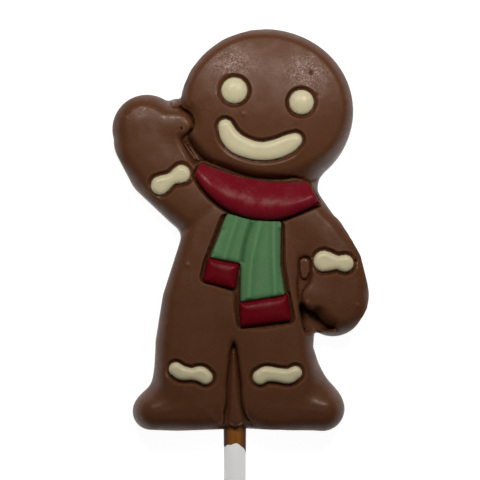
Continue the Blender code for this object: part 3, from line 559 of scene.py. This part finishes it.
def scarf_pocket_field(x, y):
    """Outline of the pocket that takes the whole scarf."""
    collar = collar_field(x, y) - COLLAR_GROOVE
    whole = np.minimum(collar, sheet(x, y, TAIL_POCKET, POCKET_CORNER))
    return np.maximum(whole, back_field(x, y) + POCKET_RIM)


# Trims by node: the row of each, the floor of its pocket and its pillow
TRIMS = {
    "eye_left": (EYE_LEFT, FACE_FLOOR, EYE_PILLOW),
    "eye_right": (EYE_RIGHT, FACE_FLOOR, EYE_PILLOW),
    "smile": (flowing(SMILE), FACE_FLOOR, SMILE_PILLOW),
    "wrist_trim_raised": (flowing(WRIST_RAISED), CUFF_FLOOR, CUFF_PILLOW),
    "wrist_trim_lowered": (flowing(WRIST_LOWERED), CUFF_FLOOR, CUFF_PILLOW),
    "ankle_trim_left": (flowing(ANKLE_LEFT), CUFF_FLOOR, CUFF_PILLOW),
    "ankle_trim_right": (flowing(ANKLE_RIGHT), CUFF_FLOOR, CUFF_PILLOW),
}


def row_field(rounds):
    """Outline of one row of round parts, as a function of place."""
    return lambda x, y: limb(x, y, rounds)


def waves(x, y, cell, seed):
    """Smooth uneven relief between -1 and 1, with bumps about one cell wide."""
    u, v = x / cell, y / cell
    i, j = np.floor(u), np.floor(v)
    fu, fv = u - i, v - j
    fu, fv = fu * fu * (3 - 2 * fu), fv * fv * (3 - 2 * fv)

    def corner(a, b):
        h = np.sin(a * 127.1 + b * 311.7 + seed * 74.7) * 43758.5453
        return 2 * (h - np.floor(h)) - 1

    low = corner(i, j) * (1 - fu) + corner(i + 1, j) * fu
    high = corner(i, j + 1) * (1 - fu) + corner(i + 1, j + 1) * fu
    return low * (1 - fv) + high * fv


def unevenness(x, y, seed):
    """The soft waviness of a moulded surface, about 1 at its strongest."""
    return sum(share * waves(x, y, cell, seed + k) for k, (share, cell) in enumerate(WAVE_LAYERS))


def softly(share):
    """Smooth step from 0 to 1."""
    share = np.clip(share, 0.0, 1.0)
    return share * share * (3.0 - 2.0 * share)


def bell(away, width):
    """A soft hump, 1 at its middle."""
    return np.exp(-(away / width) ** 2)


def mound(x, y, front, top, rounding, level, crease):
    """A raised form: an upright side that rounds over to its top.

    Towards its neighbours the form comes down to a level of its own instead.
    """
    back = back_field(x, y)
    depth = np.maximum(-back, 0.0)
    wall = np.maximum(front - back, 0.0)
    side = np.clip(SIDE_TALL - SIDE_FALL * wall, SIDE_LOW, SIDE_TALL) / top
    first = 1.0 - np.sqrt(1.0 - side ** 2)
    share = first + (1.0 - first) * depth / (wall + rounding)
    joint = np.min([limb(x, y, row) for row in INNER_JOINTS], axis=0)
    outer = top * rise(share, 1.0)
    outer = outer + (top - outer) * softly(-joint / JOINT_FADE)
    outer = np.minimum(outer, SIDE_STEEPNESS * depth)
    return np.minimum(outer, level + (top - level) * rise(-front, crease))


def front_height(x, y):
    """Height of the chocolate before its pockets."""
    head, body = head_field(x, y), body_field(x, y)
    thumbs = np.minimum(limb(x, y, RAISED_THUMB), limb(x, y, LOWERED_THUMB))
    broad = blend(body, thumbs - THUMB_MARGIN, THUMB_SPREAD)
    top = BODY_TOP - BODY_DOME * (1.0 - softly(-broad / DOME_REACH))
    level = top
    near = body
    for rounds, drop in WEB_DROPS:
        away = limb(x, y, rounds)
        near = np.minimum(near, away)
        low = top - (top - SHOULDER + drop) * softly(1.0 - away / WEB_FADE)
        level = np.minimum(level, low)
    sloping = softly(1.0 - limb(x, y, MITTEN_SLOPE) / MITTEN_SLOPE_REACH)
    flesh = mound(x, y, body, top, BODY_ROUNDING, level, CREASE_ROUNDING + MITTEN_SLOPE_WIDTH * sloping)
    beside = softly(1.0 - limb(x, y, RAISED_THUMB) / THUMB_REACH)
    groove = CHIN_GROOVE_DEPTH * (1.0 - THUMB_SHALLOWING * beside)
    flesh = flesh - groove * bell(head, CHIN_GROOVE_WIDTH) * softly(CHIN_GROOVE_LEAD - body)

    top = HEAD_TOP + HEAD_DOME * np.maximum(1.0 - oval_share(x, y, HEAD, HEAD_TILT) ** 2, 0.0)
    level = top - (top - NECK_LEVEL) * softly(1.0 - near / WEB_FADE)
    chin = CHIN_ROUNDING + (THUMB_CREASE - CHIN_ROUNDING) * beside
    skull = mound(x, y, head, top, HEAD_ROUNDING, level, chin)
    height = np.maximum(flesh, skull - BODY_TOP * softly((head - NECK_START) / NECK_REACH))
    edge = limb(x, y, RIB)
    rib = mound(x, y, edge, SHOULDER + RIB_RISE, RIB_ROUNDING, SHOULDER, RIB_ROUNDING)
    height = np.where(edge < 0.0, np.maximum(height, rib), height)
    for rounds, pad_top in PADS:
        pad = pad_top - PAD_SEAT + PAD_SEAT * rise(-limb(x, y, rounds), PAD_ROUNDING)
        height = np.where(limb(x, y, rounds) < 0.0, np.maximum(height, pad), height)
    for mark_x, mark_y, width, lift in MARKS:
        height = height + lift * bell(np.hypot(x - mark_x, y - mark_y), width)
    depth = np.clip(-back_field(x, y), 0.0, 1.0)
    return height + WAVINESS * unevenness(x, y, FIGURE_SEED) * depth


def seated(height, away, slope, levels, filled):
    """Height with one seat: its groove slopes to the seam, then comes the pocket or the inlay."""
    seam, floor, rim = levels
    height = np.minimum(height, height + (seam - height) * slope)
    down = floor + (seam - floor) * np.clip(away / SEAM, 0.0, 1.0)
    return np.where(away < SEAM, rim if filled else np.minimum(height, down), height)


def figure_height(x, y, filled=False):
    """Height of the chocolate over its flat back, with pockets that fit the inlays.

    The filled form has the rims of the inlays in place of the pockets.
    """
    height = front_height(x, y)
    for field, floor, rim in SEATS:
        away = field(x, y)
        slope = softly((GROOVE_WIDTH - away) / (GROOVE_WIDTH - GROOVE_FLOOR))
        height = seated(height, away, slope, (rim - SEAM_DROP, floor, rim), filled)
    away = scarf_field(x, y)
    lip = np.maximum(POCKET_LIP - scarf_pocket_field(x, y), 0.0)
    slope = softly(SCARF_STEEPNESS * lip / np.maximum(lip + np.maximum(away - SEAM, 0.0), 1e-6))
    return seated(height, away, slope, (SCARF_SEAM_HEIGHT, SCARF_FLOOR, TAIL_PILLOW[0]), filled)


def collar_height(x, y):
    """The collar: a cushion between its two arcs with a blunt right end."""
    rim, swell, rounding = COLLAR_PILLOW
    above, below = arc_distance(x, y, COLLAR_BOTTOM_ARC), arc_distance(x, y, COLLAR_TOP_ARC)
    share = np.sin(np.clip(below / COLLAR_SLOPE, 0.0, 1.0) * math.pi / 2) * rise(above, rounding)
    (ax, ay), (bx, by) = COLLAR_TIP, COLLAR_TOP_ARC[0]
    length = math.hypot(bx - ax, by - ay)
    end = np.abs((x - ax) * (by - ay) - (y - ay) * (bx - ax)) / length
    share = share * rise(end + COLLAR_END_LIFT, COLLAR_END_ROUNDING)
    return rim + swell * share + INLAY_WAVINESS * unevenness(x, y, SCARF_SEED) * share


def pillow_height(field, pillow, seed):
    """Height of an inlay: a rim that swells to a soft pillow."""
    rim, swell, rounding = pillow

    def height(x, y):
        depth = np.maximum(-field(x, y), 0.0)
        wavy = INLAY_WAVINESS * unevenness(x, y, seed) * np.clip(depth / rounding, 0.0, 1.0)
        return rim + swell * rise(depth, rounding) + wavy

    return height


def line_distance(x, y, line):
    """Distance from a line with soft bends."""
    return limb(x, y, flowing([(px, py, 0.0) for px, py in line]))


def fold_field(x, y):
    """Distance from the fold between the two tails."""
    return line_distance(x, y, TAIL_CREASE)


def covered_tails_field(x, y):
    """The tails as they would be if they ran on under the collar."""
    return tails_field(x, y) - TAIL_COVERED * softly((y - TAIL_COVER_EDGE) / TAIL_COVERED)


def tails_height(x, y):
    """The two tails with the fold between them and the ridges along them."""
    height = pillow_height(covered_tails_field, TAIL_PILLOW, TAILS_SEED)(x, y)
    for line, rise_mm, width in RIDGES:
        height += rise_mm * bell(line_distance(x, y, line), width)
    return height - TAIL_CREASE_DEPTH * bell(fold_field(x, y), TAIL_CREASE_WIDTH)


def trace(field, level, step, window):
    """Closed loops along one level of a field, with evenly spaced points."""
    x0, x1, y0, y1 = window
    xs = np.arange(x0, x1 + TRACE_CELL, TRACE_CELL)
    ys = np.arange(y0, y1 + TRACE_CELL, TRACE_CELL)
    gx, gy = np.meshgrid(xs, ys, indexing="ij")
    values = field(gx, gy) - level
    values[values == 0.0] = 1e-9
    links = {}

    def crossing(i, j, k, m):
        return ((i, j), (k, m)) if (values[i, j] > 0) != (values[k, m] > 0) else None

    signs = values > 0
    mixed = signs[:-1, :-1].astype(int) + signs[1:, :-1] + signs[1:, 1:] + signs[:-1, 1:]
    for i, j in np.argwhere((mixed > 0) & (mixed < 4)):
        sides = [crossing(i, j, i + 1, j), crossing(i + 1, j, i + 1, j + 1),
                 crossing(i, j + 1, i + 1, j + 1), crossing(i, j, i, j + 1)]
        sides = [s for s in sides if s]
        for a, b in zip(sides[::2], sides[1::2]):
            links.setdefault(a, []).append(b)
            links.setdefault(b, []).append(a)

    def place(side):
        (i, j), (k, m) = side
        t = values[i, j] / (values[i, j] - values[k, m])
        return (xs[i] + t * (xs[k] - xs[i]), ys[j] + t * (ys[m] - ys[j]))

    loops = []
    unused = set(links)
    for start in sorted(links):
        if start not in unused:
            continue
        path, here = [], start
        while here in unused:
            unused.discard(here)
            path.append(place(here))
            ahead = [s for s in links[here] if s in unused]
            if not ahead:
                break
            here = ahead[0]
        if len(path) >= FEWEST_POINTS:
            loops.append(even_loop(np.array(path), field, level, step))
    return loops


def traces(field, levels, step, window):
    """Closed loops along several levels of a field."""
    return [loop for level in levels for loop in trace(field, level, step, window)]


def even_loop(path, field, level, step):
    """Points spaced evenly along a closed path and drawn onto the level."""
    closed = np.vstack([path, path[:1]])
    lengths = np.hypot(*np.diff(closed, axis=0).T)
    total = np.concatenate([[0.0], np.cumsum(lengths)])
    count = max(int(round(total[-1] / step)), FEWEST_POINTS)
    wanted = np.arange(count) * total[-1] / count
    x = np.interp(wanted, total, closed[:, 0])
    y = np.interp(wanted, total, closed[:, 1])
    for _ in range(DRAWS):
        here = np.clip(field(x, y) - level, -DRAW_LIMIT, DRAW_LIMIT)
        gx = (field(x + DRAW_PROBE, y) - field(x - DRAW_PROBE, y)) / (2 * DRAW_PROBE)
        gy = (field(x, y + DRAW_PROBE) - field(x, y - DRAW_PROBE)) / (2 * DRAW_PROBE)
        move = here / np.maximum(gx * gx + gy * gy, FLATTEST_SLOPE)
        x, y = x - move * gx, y - move * gy
    return np.stack([x, y], 1)


def window_of(field, search):
    """Rectangle round the inside of a field, found inside a larger one."""
    x0, x1, y0, y1 = search
    gx, gy = np.meshgrid(np.arange(x0, x1, 1.0), np.arange(y0, y1, 1.0), indexing="ij")
    inside = field(gx, gy) < 1.0
    return tuple(end for g in (gx[inside], gy[inside]) for end in (g.min() - 2, g.max() + 2))


def hidden_runs(field, level, step, window, cover, margin):
    """Stretches along a level of a field that lie well inside a wider shape."""
    runs = []
    for loop in trace(field, level, step, window):
        inside = cover(loop[:, 0], loop[:, 1]) < -margin
        if inside.all():
            runs.append(np.vstack([loop, loop[:1] + 1e-6]))
            continue
        start = int(np.argmin(inside))
        loop, inside = np.roll(loop, -start, axis=0), np.roll(inside, -start)
        breaks = np.flatnonzero(np.diff(inside.astype(int))) + 1
        runs += [run for run, ok in zip(np.split(loop, breaks), np.split(inside, breaks)) if ok[0]]
    return [run for run in runs if len(run) > 2]


def fill_points(field, window, step, others):
    """Staggered rows of points inside a field, clear of the lines."""
    tree = KDTree(len(others))
    for i, (x, y) in enumerate(others):
        tree.insert((x, y, 0.0), i)
    tree.balance()
    x0, x1, y0, y1 = window
    rows = []
    for r, y in enumerate(np.arange(y0, y1, step * math.sqrt(0.75))):
        x = np.arange(x0 + (r % 2) * step / 2, x1, step)
        rows.append(np.stack([x, np.full(len(x), y)], 1))
    points = np.vstack(rows)
    points = points[field(points[:, 0], points[:, 1]) < -FILL_MARGIN * step]
    clear = [tree.find((x, y, 0.0))[2] > FILL_CLEARANCE * step for x, y in points]
    return points[np.array(clear, bool)]


def triangles_inside(loops, runs, points, outer):
    """Flat triangles inside the outline that keep all the lines as edges."""
    coords, edges = [], []
    for line, closed in [(loop, True) for loop in loops] + [(run, False) for run in runs]:
        first, count = len(coords), len(line)
        coords.extend(Vector(p) for p in line)
        edges.extend((first + i, first + i + 1) for i in range(count - 1))
        if closed:
            edges.append((first + count - 1, first))
    coords.extend(Vector(p) for p in points)
    verts, _, faces, *_ = delaunay_2d_cdt(coords, edges, [], 1, 1e-5)
    plan = np.array([tuple(v) for v in verts])
    faces = np.array(faces)
    centres = plan[faces].mean(axis=1)
    return plan, faces[outer(centres[:, 0], centres[:, 1]) < 0.01]


def rim_loop(faces):
    """The outer edge of a sheet of triangles, in order."""
    sides = {(a, b) for face in faces.tolist() for a, b in zip(face, face[1:] + face[:1])}
    following = {a: b for a, b in sides if (b, a) not in sides}
    loop = [min(following)]
    while following[loop[-1]] != loop[0] and len(loop) < len(following):
        loop.append(following[loop[-1]])
    if len(loop) != len(following):
        raise ValueError("the outline is not one closed loop")
    return loop


def filled_height(x, y):
    """Height of the chocolate as if its inlays filled their pockets."""
    return figure_height(x, y, filled=True)


def standing_out(height, x, y, reach):
    """How far each point stands above the mean height of a ring round it."""
    around = [height(x + reach * math.cos(a), y + reach * math.sin(a))
              for a in np.arange(RING_POINTS) * math.tau / RING_POINTS]
    return height(x, y) - np.mean(around, axis=0)


def moulded_piece(name, node, material, outline, height, lines, points, bottom, rim, shading_height=None):
    """Closed piece with a fine relief on top, upright edges and a flat bottom, and a relief value at every
    corner from which its material paints shade and highlights.
    """
    plan, faces = triangles_inside(*lines, points, outline)
    loop = rim_loop(faces)
    x, y = plan[:, 0], plan[:, 1]
    shading_height = shading_height or height
    # Painted shade and highlight: points below the mean height of a ring round them get painted shade,
    # points above it a painted highlight
    relief = standing_out(shading_height, x, y, RELIEF_REACH) / RELIEF_FULL
    relief[outline(x, y) > -RELIEF_REACH] = 0.0
    hollow_shade = standing_out(shading_height, x, y, HOLLOW_SHADE_REACH) / HOLLOW_SHADE_FULL
    relief = np.clip(relief + np.minimum(hollow_shade, 0.0), -1.0, 1.0)
    tops = height(x, y)
    tops[loop] = rim
    coords = [np.column_stack([plan, tops])]
    sides, lower = [], {i: i for i in loop}
    if rim > bottom:
        lower = {i: len(plan) + k for k, i in enumerate(loop)}
        coords.append(np.column_stack([plan[loop], np.full(len(loop), bottom)]))
        for a, b in zip(loop, loop[1:] + loop[:1]):
            sides += [(b, a, lower[a]), (b, lower[a], lower[b])]
    edges = [(i, (i + 1) % len(loop)) for i in range(len(loop))]
    _, _, under, source, *_ = delaunay_2d_cdt([Vector(plan[i]) for i in loop], edges, [], 1, 1e-7)
    below = [tuple(lower[loop[source[i][0]]] for i in reversed(face)) for face in under]
    coords = np.vstack(coords)
    piece = shown_piece(name, node, material, coords, faces.tolist() + sides + below)
    full = np.zeros(len(coords))
    full[:len(plan)] = relief
    keep_values(piece, "relief", 0.5 + 0.5 * full)
    return piece


def keep_values(piece, name, values):
    """Gives a piece a value at every corner, for its material to read."""
    kept = piece.data.attributes.new(name, "FLOAT", "POINT")
    kept.data.foreach_set("value", values.astype(np.float32))


def mesh_of(name, coords, faces):
    """A mesh in the row's frame from corners on the plan."""
    data = bpy.data.meshes.new(name)
    data.from_pydata(((coords + ORIGIN) * MM).tolist(), [], faces)
    return data


def placed(name, data):
    """A new object in the scene."""
    made = bpy.data.objects.new(name, data)
    bpy.context.scene.collection.objects.link(made)
    return made


def shown_piece(name, node, material, coords, faces):
    """A piece in the row's frame that stands for one node of the solids."""
    data = mesh_of(name, coords, faces)
    data.validate()
    data.materials.append(material)
    data.shade_smooth()
    data.set_sharp_from_angle(angle=math.radians(CRISP_ANGLE_DEG))
    piece = placed(name, data)
    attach(piece, "root")
    if node:
        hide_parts(node)
    return piece


def inlay(node, slot, field, height, rim, bottom, creases=()):
    """One inlay with a fine relief, in the place of its solid."""
    window = window_of(field, PLAN)
    loops = traces(field, [-depth for depth in INLAY_LEVELS], INLAY_STEP, window)
    runs = []
    for crease in creases:
        runs += hidden_runs(crease, CREASE_LEVEL, INLAY_STEP, window, field, INLAY_STEP)
    points = fill_points(field, window, INLAY_FILL, np.vstack(loops + runs))
    material = MATERIALS.get(node, MATERIALS[slot])
    piece = moulded_piece(node + "_fine", node, material, field, height, (loops, runs), points, bottom, rim)


def figure():
    """The chocolate body with seats for its inlays and the bore for the stick."""
    loops = traces(back_field, BACK_LEVELS, OUTLINE_STEP, PLAN)
    loops += trace(shoulder_field, 0.0, OUTLINE_STEP, PLAN)
    loops += traces(front_field, FRONT_LEVELS, OUTLINE_STEP, PLAN)
    for field, _, _ in SEATS:
        loops += traces(field, GROOVE_LEVELS, SEAT_STEP, window_of(field, PLAN))
    window = window_of(scarf_pocket_field, PLAN)
    loops += trace(scarf_pocket_field, POCKET_LIP, SEAT_STEP, window)
    loops += traces(scarf_field, SCARF_LEVELS, SEAT_STEP, window)
    hidden = [(head_field, level, front_field, HEAD_MARGIN - level) for level in HEAD_LEVELS]
    hidden.append((front_field, 0.0, shoulder_field, FRONT_MARGIN))
    hidden += [(row_field(RIB), level, shoulder_field, RIB_MARGIN) for level in RIB_LEVELS]
    for rounds, _ in PADS:
        hidden += [(row_field(rounds), level, back_field, PAD_MARGIN) for level in PAD_LEVELS]
    runs = []
    for field, level, cover, margin in hidden:
        runs += hidden_runs(field, level, SEAT_STEP, PLAN, cover, margin)
    points = fill_points(back_field, PLAN, FILL_STEP, np.vstack(loops + runs))
    # The figure's painted shade and highlight are worked out from its height with the pockets filled
    piece = moulded_piece("chocolate_figure_fine", "chocolate_figure", MATERIALS["milk_chocolate"],
                          back_field, figure_height, (loops, runs), points, 0.0, 0.0, filled_height)
    cut_bore(piece)


def cut_bore(piece):
    """Cuts the blind bore for the stick."""
    stations = [(-BORE_OVERRUN, BORE_RADIUS), (STICK_INSIDE + GAP, BORE_RADIUS)]
    cutter = placed("bore", mesh_of("bore", *bar(stations, STICK_SIDES)))
    change = piece.modifiers.new("bore", "BOOLEAN")
    change.operation = "DIFFERENCE"
    change.solver = "EXACT"
    change.object = cutter
    seen = piece.evaluated_get(bpy.context.evaluated_depsgraph_get())
    piece.data = bpy.data.meshes.new_from_object(seen)
    piece.modifiers.clear()
    bpy.data.objects.remove(cutter)
    piece.data.set_sharp_from_angle(angle=math.radians(CRISP_ANGLE_DEG))


def lathe(stations, sides):
    """Corners and quads of a surface round the stick's axis.

    Each station gives the place along the axis and the radius, and either may
    differ from side to side.
    """
    angles = np.arange(sides) * math.tau / sides
    coords, faces = [], []
    for y, radius in stations:
        across = np.broadcast_to(radius, sides)
        coords.append(np.column_stack([across * np.cos(angles), np.broadcast_to(y, sides),
                                       STICK_AXIS_HEIGHT + across * np.sin(angles)]))
    for k in range(len(stations) - 1):
        for i in range(sides):
            j = (i + 1) % sides
            faces.append((k * sides + i, (k + 1) * sides + i, (k + 1) * sides + j, k * sides + j))
    return np.vstack(coords), faces


def bar(stations, sides):
    """Corners and faces of a closed round bar along the stick's axis."""
    coords, faces = lathe(stations, sides)
    last = len(coords) - sides
    return coords, faces + [tuple(range(sides)), tuple(last + i for i in reversed(range(sides)))]


def softened_end(end, inward):
    """Stations of one end of the stick, from its flat face to its full radius."""
    turns = np.linspace(0.0, math.pi / 2, STICK_END_RINGS)
    return [(end + inward * STICK_CHAMFER * (1 - math.cos(t)),
             STICK_RADIUS - STICK_CHAMFER * (1 - math.sin(t))) for t in turns]


def stick():
    """The rolled paper stick with softened ends."""
    low = STICK_INSIDE - STICK_LENGTH
    places = np.linspace(low + STICK_END_MARGIN, STICK_INSIDE - STICK_END_MARGIN, STICK_RINGS)
    stations = softened_end(low, 1) + [(y, STICK_RADIUS) for y in places]
    coords, faces = bar(stations + softened_end(STICK_INSIDE, -1)[::-1], STICK_ROUND)
    piece = shown_piece("stick_fine", "stick", MATERIALS["stick_paper"], coords, faces)


def film():
    """The thin film of chocolate that ran onto the stick below the soles."""
    angles = np.arange(STICK_ROUND) * math.tau / STICK_ROUND
    reach = FILM_REACH + FILM_LEAN * np.cos(angles)
    for waves_round, size, turn in FILM_WAVES:
        reach += size * np.sin(waves_round * angles + turn)
    stations = [(FILM_TOP - share * reach, STICK_RADIUS + thick) for share, thick in FILM_PROFILE]
    coords, faces = lathe(stations + stations[:1], STICK_ROUND)
    count = len(stations) * STICK_ROUND
    faces = [tuple(i % count for i in face) for face in faces]
    piece = shown_piece("stick_film", None, MATERIALS["film"], coords[:count], faces)
    keep_values(piece, "side", np.tile(np.abs(np.cos(angles)), len(stations)))


def mix_node(tree, factor, a, b):
    """Mixes two colours, where each may be a colour or a node's output."""
    node = tree.nodes.new("ShaderNodeMix")
    node.data_type = "RGBA"
    for socket, value in ((node.inputs[0], factor), (node.inputs[6], a), (node.inputs[7], b)):
        if isinstance(value, (tuple, float)):
            socket.default_value = (*value, 1.0) if isinstance(value, tuple) else value
        else:
            tree.links.new(value, socket)
    return node.outputs[2]


def give(node, values):
    """Sets plain numbers and colours on the inputs of a node."""
    for key, value in values.items():
        node.inputs[key].default_value = value


def noise_node(tree, size_mm, detail, roughness=0.5, along=1.0):
    """Noise in the row's own coordinates, with bumps of a size in millimetres.

    A smaller share along the stick draws it out to fibres.
    """
    place = tree.nodes.new("ShaderNodeTexCoord").outputs["Object"]
    if along != 1.0:
        stretch = tree.nodes.new("ShaderNodeMapping")
        give(stretch, {"Scale": (1.0, along, 1.0)})
        tree.links.new(place, stretch.inputs["Vector"])
        place = stretch.outputs["Vector"]
    noise = tree.nodes.new("ShaderNodeTexNoise")
    give(noise, {"Scale": 1.0 / (size_mm * MM), "Detail": detail, "Roughness": roughness})
    tree.links.new(place, noise.inputs["Vector"])
    return noise.outputs["Fac"]


def kept_node(tree, name):
    """The value that a piece keeps at its corners under a name."""
    node = tree.nodes.new("ShaderNodeAttribute")
    node.attribute_name = name
    return node.outputs["Fac"]


def range_node(tree, value, low, high, to_low, to_high):
    """Maps one range of a value to another."""
    node = tree.nodes.new("ShaderNodeMapRange")
    give(node, {"From Min": low, "From Max": high, "To Min": to_low, "To Max": to_high})
    tree.links.new(value, node.inputs["Value"])
    return node.outputs["Result"]


def bump_node(tree, height, depth_mm, strength, normal=None):
    """Bumps of a depth in millimetres, over other bumps where a normal is given."""
    node = tree.nodes.new("ShaderNodeBump")
    give(node, {"Distance": depth_mm * MM, "Strength": strength})
    tree.links.new(height, node.inputs["Height"])
    if normal:
        tree.links.new(normal, node.inputs["Normal"])
    return node.outputs["Normal"]


def new_material(name):
    """A material with its tree and its shader."""
    material = bpy.data.materials.new(name)
    material.use_nodes = True
    return material, material.node_tree, material.node_tree.nodes["Principled BSDF"]


def chocolate(name, shaded_crease, plain, lit_ridge, roughness, gloss, matt, glow):
    """Satin moulded chocolate with patchy gloss, and painted shade and highlight: darker colour and less
    gloss in its creases, lighter colour on its ridges.
    """
    material, tree, shader = new_material(name)
    relief = kept_node(tree, "relief")
    # Painted shade in creases and hollows and painted highlight on ridges, read from the relief value
    ramp = tree.nodes.new("ShaderNodeValToRGB")
    stops = ramp.color_ramp.elements
    stops[0].position, stops[0].color = 0.0, (*shaded_crease, 1.0)
    stops[1].position, stops[1].color = 1.0, (*lit_ridge, 1.0)
    for place in PLAIN_SPAN:
        stops.new(place).color = (*plain, 1.0)
    tree.links.new(relief, ramp.inputs["Fac"])
    cloud = range_node(tree, noise_node(tree, CLOUD_SIZE, 4.0), *NOISE_SPAN, 0.0, 0.35)
    pale = tuple(min(1.0, c * 1.22 + 0.004) for c in plain)
    colour = mix_node(tree, cloud, ramp.outputs["Color"], pale)
    tree.links.new(colour, shader.inputs["Base Color"])
    grain = noise_node(tree, GRAIN_SIZE, 3.0, 0.6)
    tree.links.new(range_node(tree, grain, 0.35, 0.65, roughness - 0.1, roughness + 0.12),
                   shader.inputs["Roughness"])
    normal = bump_node(tree, noise_node(tree, BUMP_SIZE, 2.0), BUMP_DEPTH, 0.35)
    tree.links.new(bump_node(tree, grain, GRAIN_DEPTH, 0.5, normal), shader.inputs["Normal"])
    give(shader, {"Subsurface Weight": glow, "Subsurface Radius": GLOW_SPREAD,
                  "Subsurface Scale": GLOW_DEPTH * MM, "Specular Tint": GLINT})
    shine = tree.nodes.new("ShaderNodeMath")
    shine.operation = "MULTIPLY"
    # Painted shade on the sheen: the gloss falls to a tenth in creases and hollows
    raised = range_node(tree, relief, 0.25, 0.47, 0.1 * gloss, gloss)
    tree.links.new(raised, shine.inputs[0])
    patches = noise_node(tree, GLOSS_PATCH_SIZE, 2.0)
    tree.links.new(range_node(tree, patches, 0.42, 0.62, matt, 1.0), shine.inputs[1])
    tree.links.new(shine.outputs["Value"], shader.inputs["Specular IOR Level"])
    return material


def paper(name):
    """Rolled white paper with faint fibres along the stick, and a faint painted glow that brightens it."""
    material, tree, shader = new_material(name)
    fibre = noise_node(tree, PAPER_FIBRE, 4.0, along=FIBRE_STRETCH)
    shade = range_node(tree, fibre, *NOISE_SPAN, 0.0, 1.0)
    tree.links.new(mix_node(tree, shade, PAPER_DARK, PAPER_LIGHT), shader.inputs["Base Color"])
    tree.links.new(bump_node(tree, fibre, GRAIN_DEPTH, 0.4), shader.inputs["Normal"])
    give(shader, {"Roughness": 0.72, "Emission Color": (1.0, 0.97, 0.95, 1.0),
                  "Emission Strength": PAPER_PAINTED_GLOW})
    return material


def film_material(name):
    """Thin chocolate that lets the white stick show through, amber where it is thinnest."""
    material, tree, shader = new_material(name)
    fibre = noise_node(tree, FILM_FIBRE, 4.0, along=FIBRE_STRETCH)
    streak = range_node(tree, fibre, *NOISE_SPAN, 0.0, 0.5)
    thin = mix_node(tree, streak, FILM_THIN, FILM_THICK)
    edge = range_node(tree, kept_node(tree, "side"), 0.45, 0.95, 0.0, 1.0)
    tree.links.new(mix_node(tree, edge, thin, FILM_EDGE), shader.inputs["Base Color"])
    give(shader, {"Roughness": 0.35, "Specular IOR Level": 0.06})
    return material


def floor_material(name):
    """Plain pale light table."""
    material, tree, shader = new_material(name)
    cloud = range_node(tree, noise_node(tree, FLOOR_CLOUD_SIZE, 2.0), *NOISE_SPAN, 0.0, 1.0)
    tree.links.new(mix_node(tree, cloud, FLOOR_DARK, FLOOR_LIGHT), shader.inputs["Base Color"])
    give(shader, {"Roughness": 0.6, "Emission Color": (1.0, 1.0, 1.0, 1.0),
                  "Emission Strength": FLOOR_GLOW})
    return material


def soft_sky():
    """Plain studio surroundings, brighter overhead than at the horizon."""
    world = bpy.data.worlds.new("soft_studio")
    world.use_nodes = True
    tree = world.node_tree
    place = tree.nodes.new("ShaderNodeTexCoord")
    parts = tree.nodes.new("ShaderNodeSeparateXYZ")
    tree.links.new(place.outputs["Generated"], parts.inputs["Vector"])
    tree.links.new(range_node(tree, parts.outputs["Z"], 0.0, 1.0, SKY_HORIZON, SKY_ZENITH),
                   tree.nodes["Background"].inputs["Strength"])
    give(tree.nodes["Background"], {"Color": (1.0, 1.0, 1.0, 1.0)})
    return world


def aim_at(thing, place, aim):
    """Puts a lamp or camera at a place of the plan and turns it to its aim."""
    spot, target = ((Vector(point) + Vector(ORIGIN)) * MM for point in (place, aim))
    thing.location = spot
    thing.rotation_euler = (target - spot).to_track_quat("-Z", "Y").to_euler()


def area_light(name, place, aim, size, watts):
    """A round lamp that the camera doesn't see, turned to its aim."""
    light = bpy.data.lights.new(name, "AREA")
    light.shape = "DISK"
    light.size = size * MM
    light.energy = watts
    lamp = placed(name, light)
    lamp.visible_camera = False
    aim_at(lamp, place, aim)


# Looks by slot, and by node where a node differs from its slot
MATERIALS = {slot: chocolate(slot + "_satin", *look) for slot, look in CHOCOLATES.items()}
MATERIALS["stick_paper"] = paper("stick_paper_fibres")
MATERIALS["film"] = film_material("thin_chocolate")
# The scarf ends take the darker copy of the red chocolate as painted shade
MATERIALS["scarf_end_short"] = MATERIALS["scarf_end_long"] = MATERIALS["shaded_red_chocolate"]

# Seats of the trims: the outline, the floor and the rim's height of each
SEATS = [(row_field(rounds), floor, pillow[0]) for rounds, floor, pillow in TRIMS.values()]
SCARF_ENDS = (("scarf_end_short", end_field(SHORT_END)), ("scarf_end_long", end_field(LONG_END)))
PLAN = window_of(back_field, SEARCH)

# Place of the plan's origin in the row: on the stick's axis at the soles
stick_low, stick_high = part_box("stick")
soles = stick_low.y / MM + STICK_LENGTH - STICK_INSIDE
ORIGIN = np.array([(stick_low.x + stick_high.x) / 2 / MM, soles, 0.0])

figure()
for number, (trim, (rounds, floor, pillow)) in enumerate(TRIMS.items()):
    edge = row_field(rounds)
    height = pillow_height(edge, pillow, TRIM_SEED + number)
    inlay(trim, "white_chocolate", edge, height, pillow[0], floor + GAP)
inlay("scarf_collar", "red_chocolate", collar_field, collar_height, COLLAR_PILLOW[0], SCARF_FLOOR + GAP)
for number, (trim, edge) in enumerate(SCARF_ENDS):
    height = pillow_height(edge, END_PILLOW, SCARF_SEED + number)
    inlay(trim, "red_chocolate", edge, height, END_PILLOW[0], SCARF_FLOOR + GAP)
inlay("scarf_tails", "green_chocolate", tails_field, tails_height, TAIL_PILLOW[0], SCARF_FLOOR + GAP,
      [fold_field])
stick()
film()

bpy.ops.mesh.primitive_plane_add(size=FLOOR_SIZE_M)
floor = bpy.context.object
floor.name = "floor"
floor.data.materials.append(floor_material("pale_floor"))

bpy.context.scene.world = soft_sky()
bpy.context.scene.view_settings.view_transform = "Standard"
for name, place, size, watts in LAMPS:
    area_light(name, place, LAMP_AIM, size, watts)

camera = placed("camera", bpy.data.cameras.new("camera"))
camera.data.sensor_width = CAMERA_SENSOR
camera.data.lens = CAMERA_LENS
camera.data.clip_start = CAMERA_NEAR_M
aim_at(camera, CAMERA_EYE, CAMERA_AIM)
bpy.context.scene.camera = camera
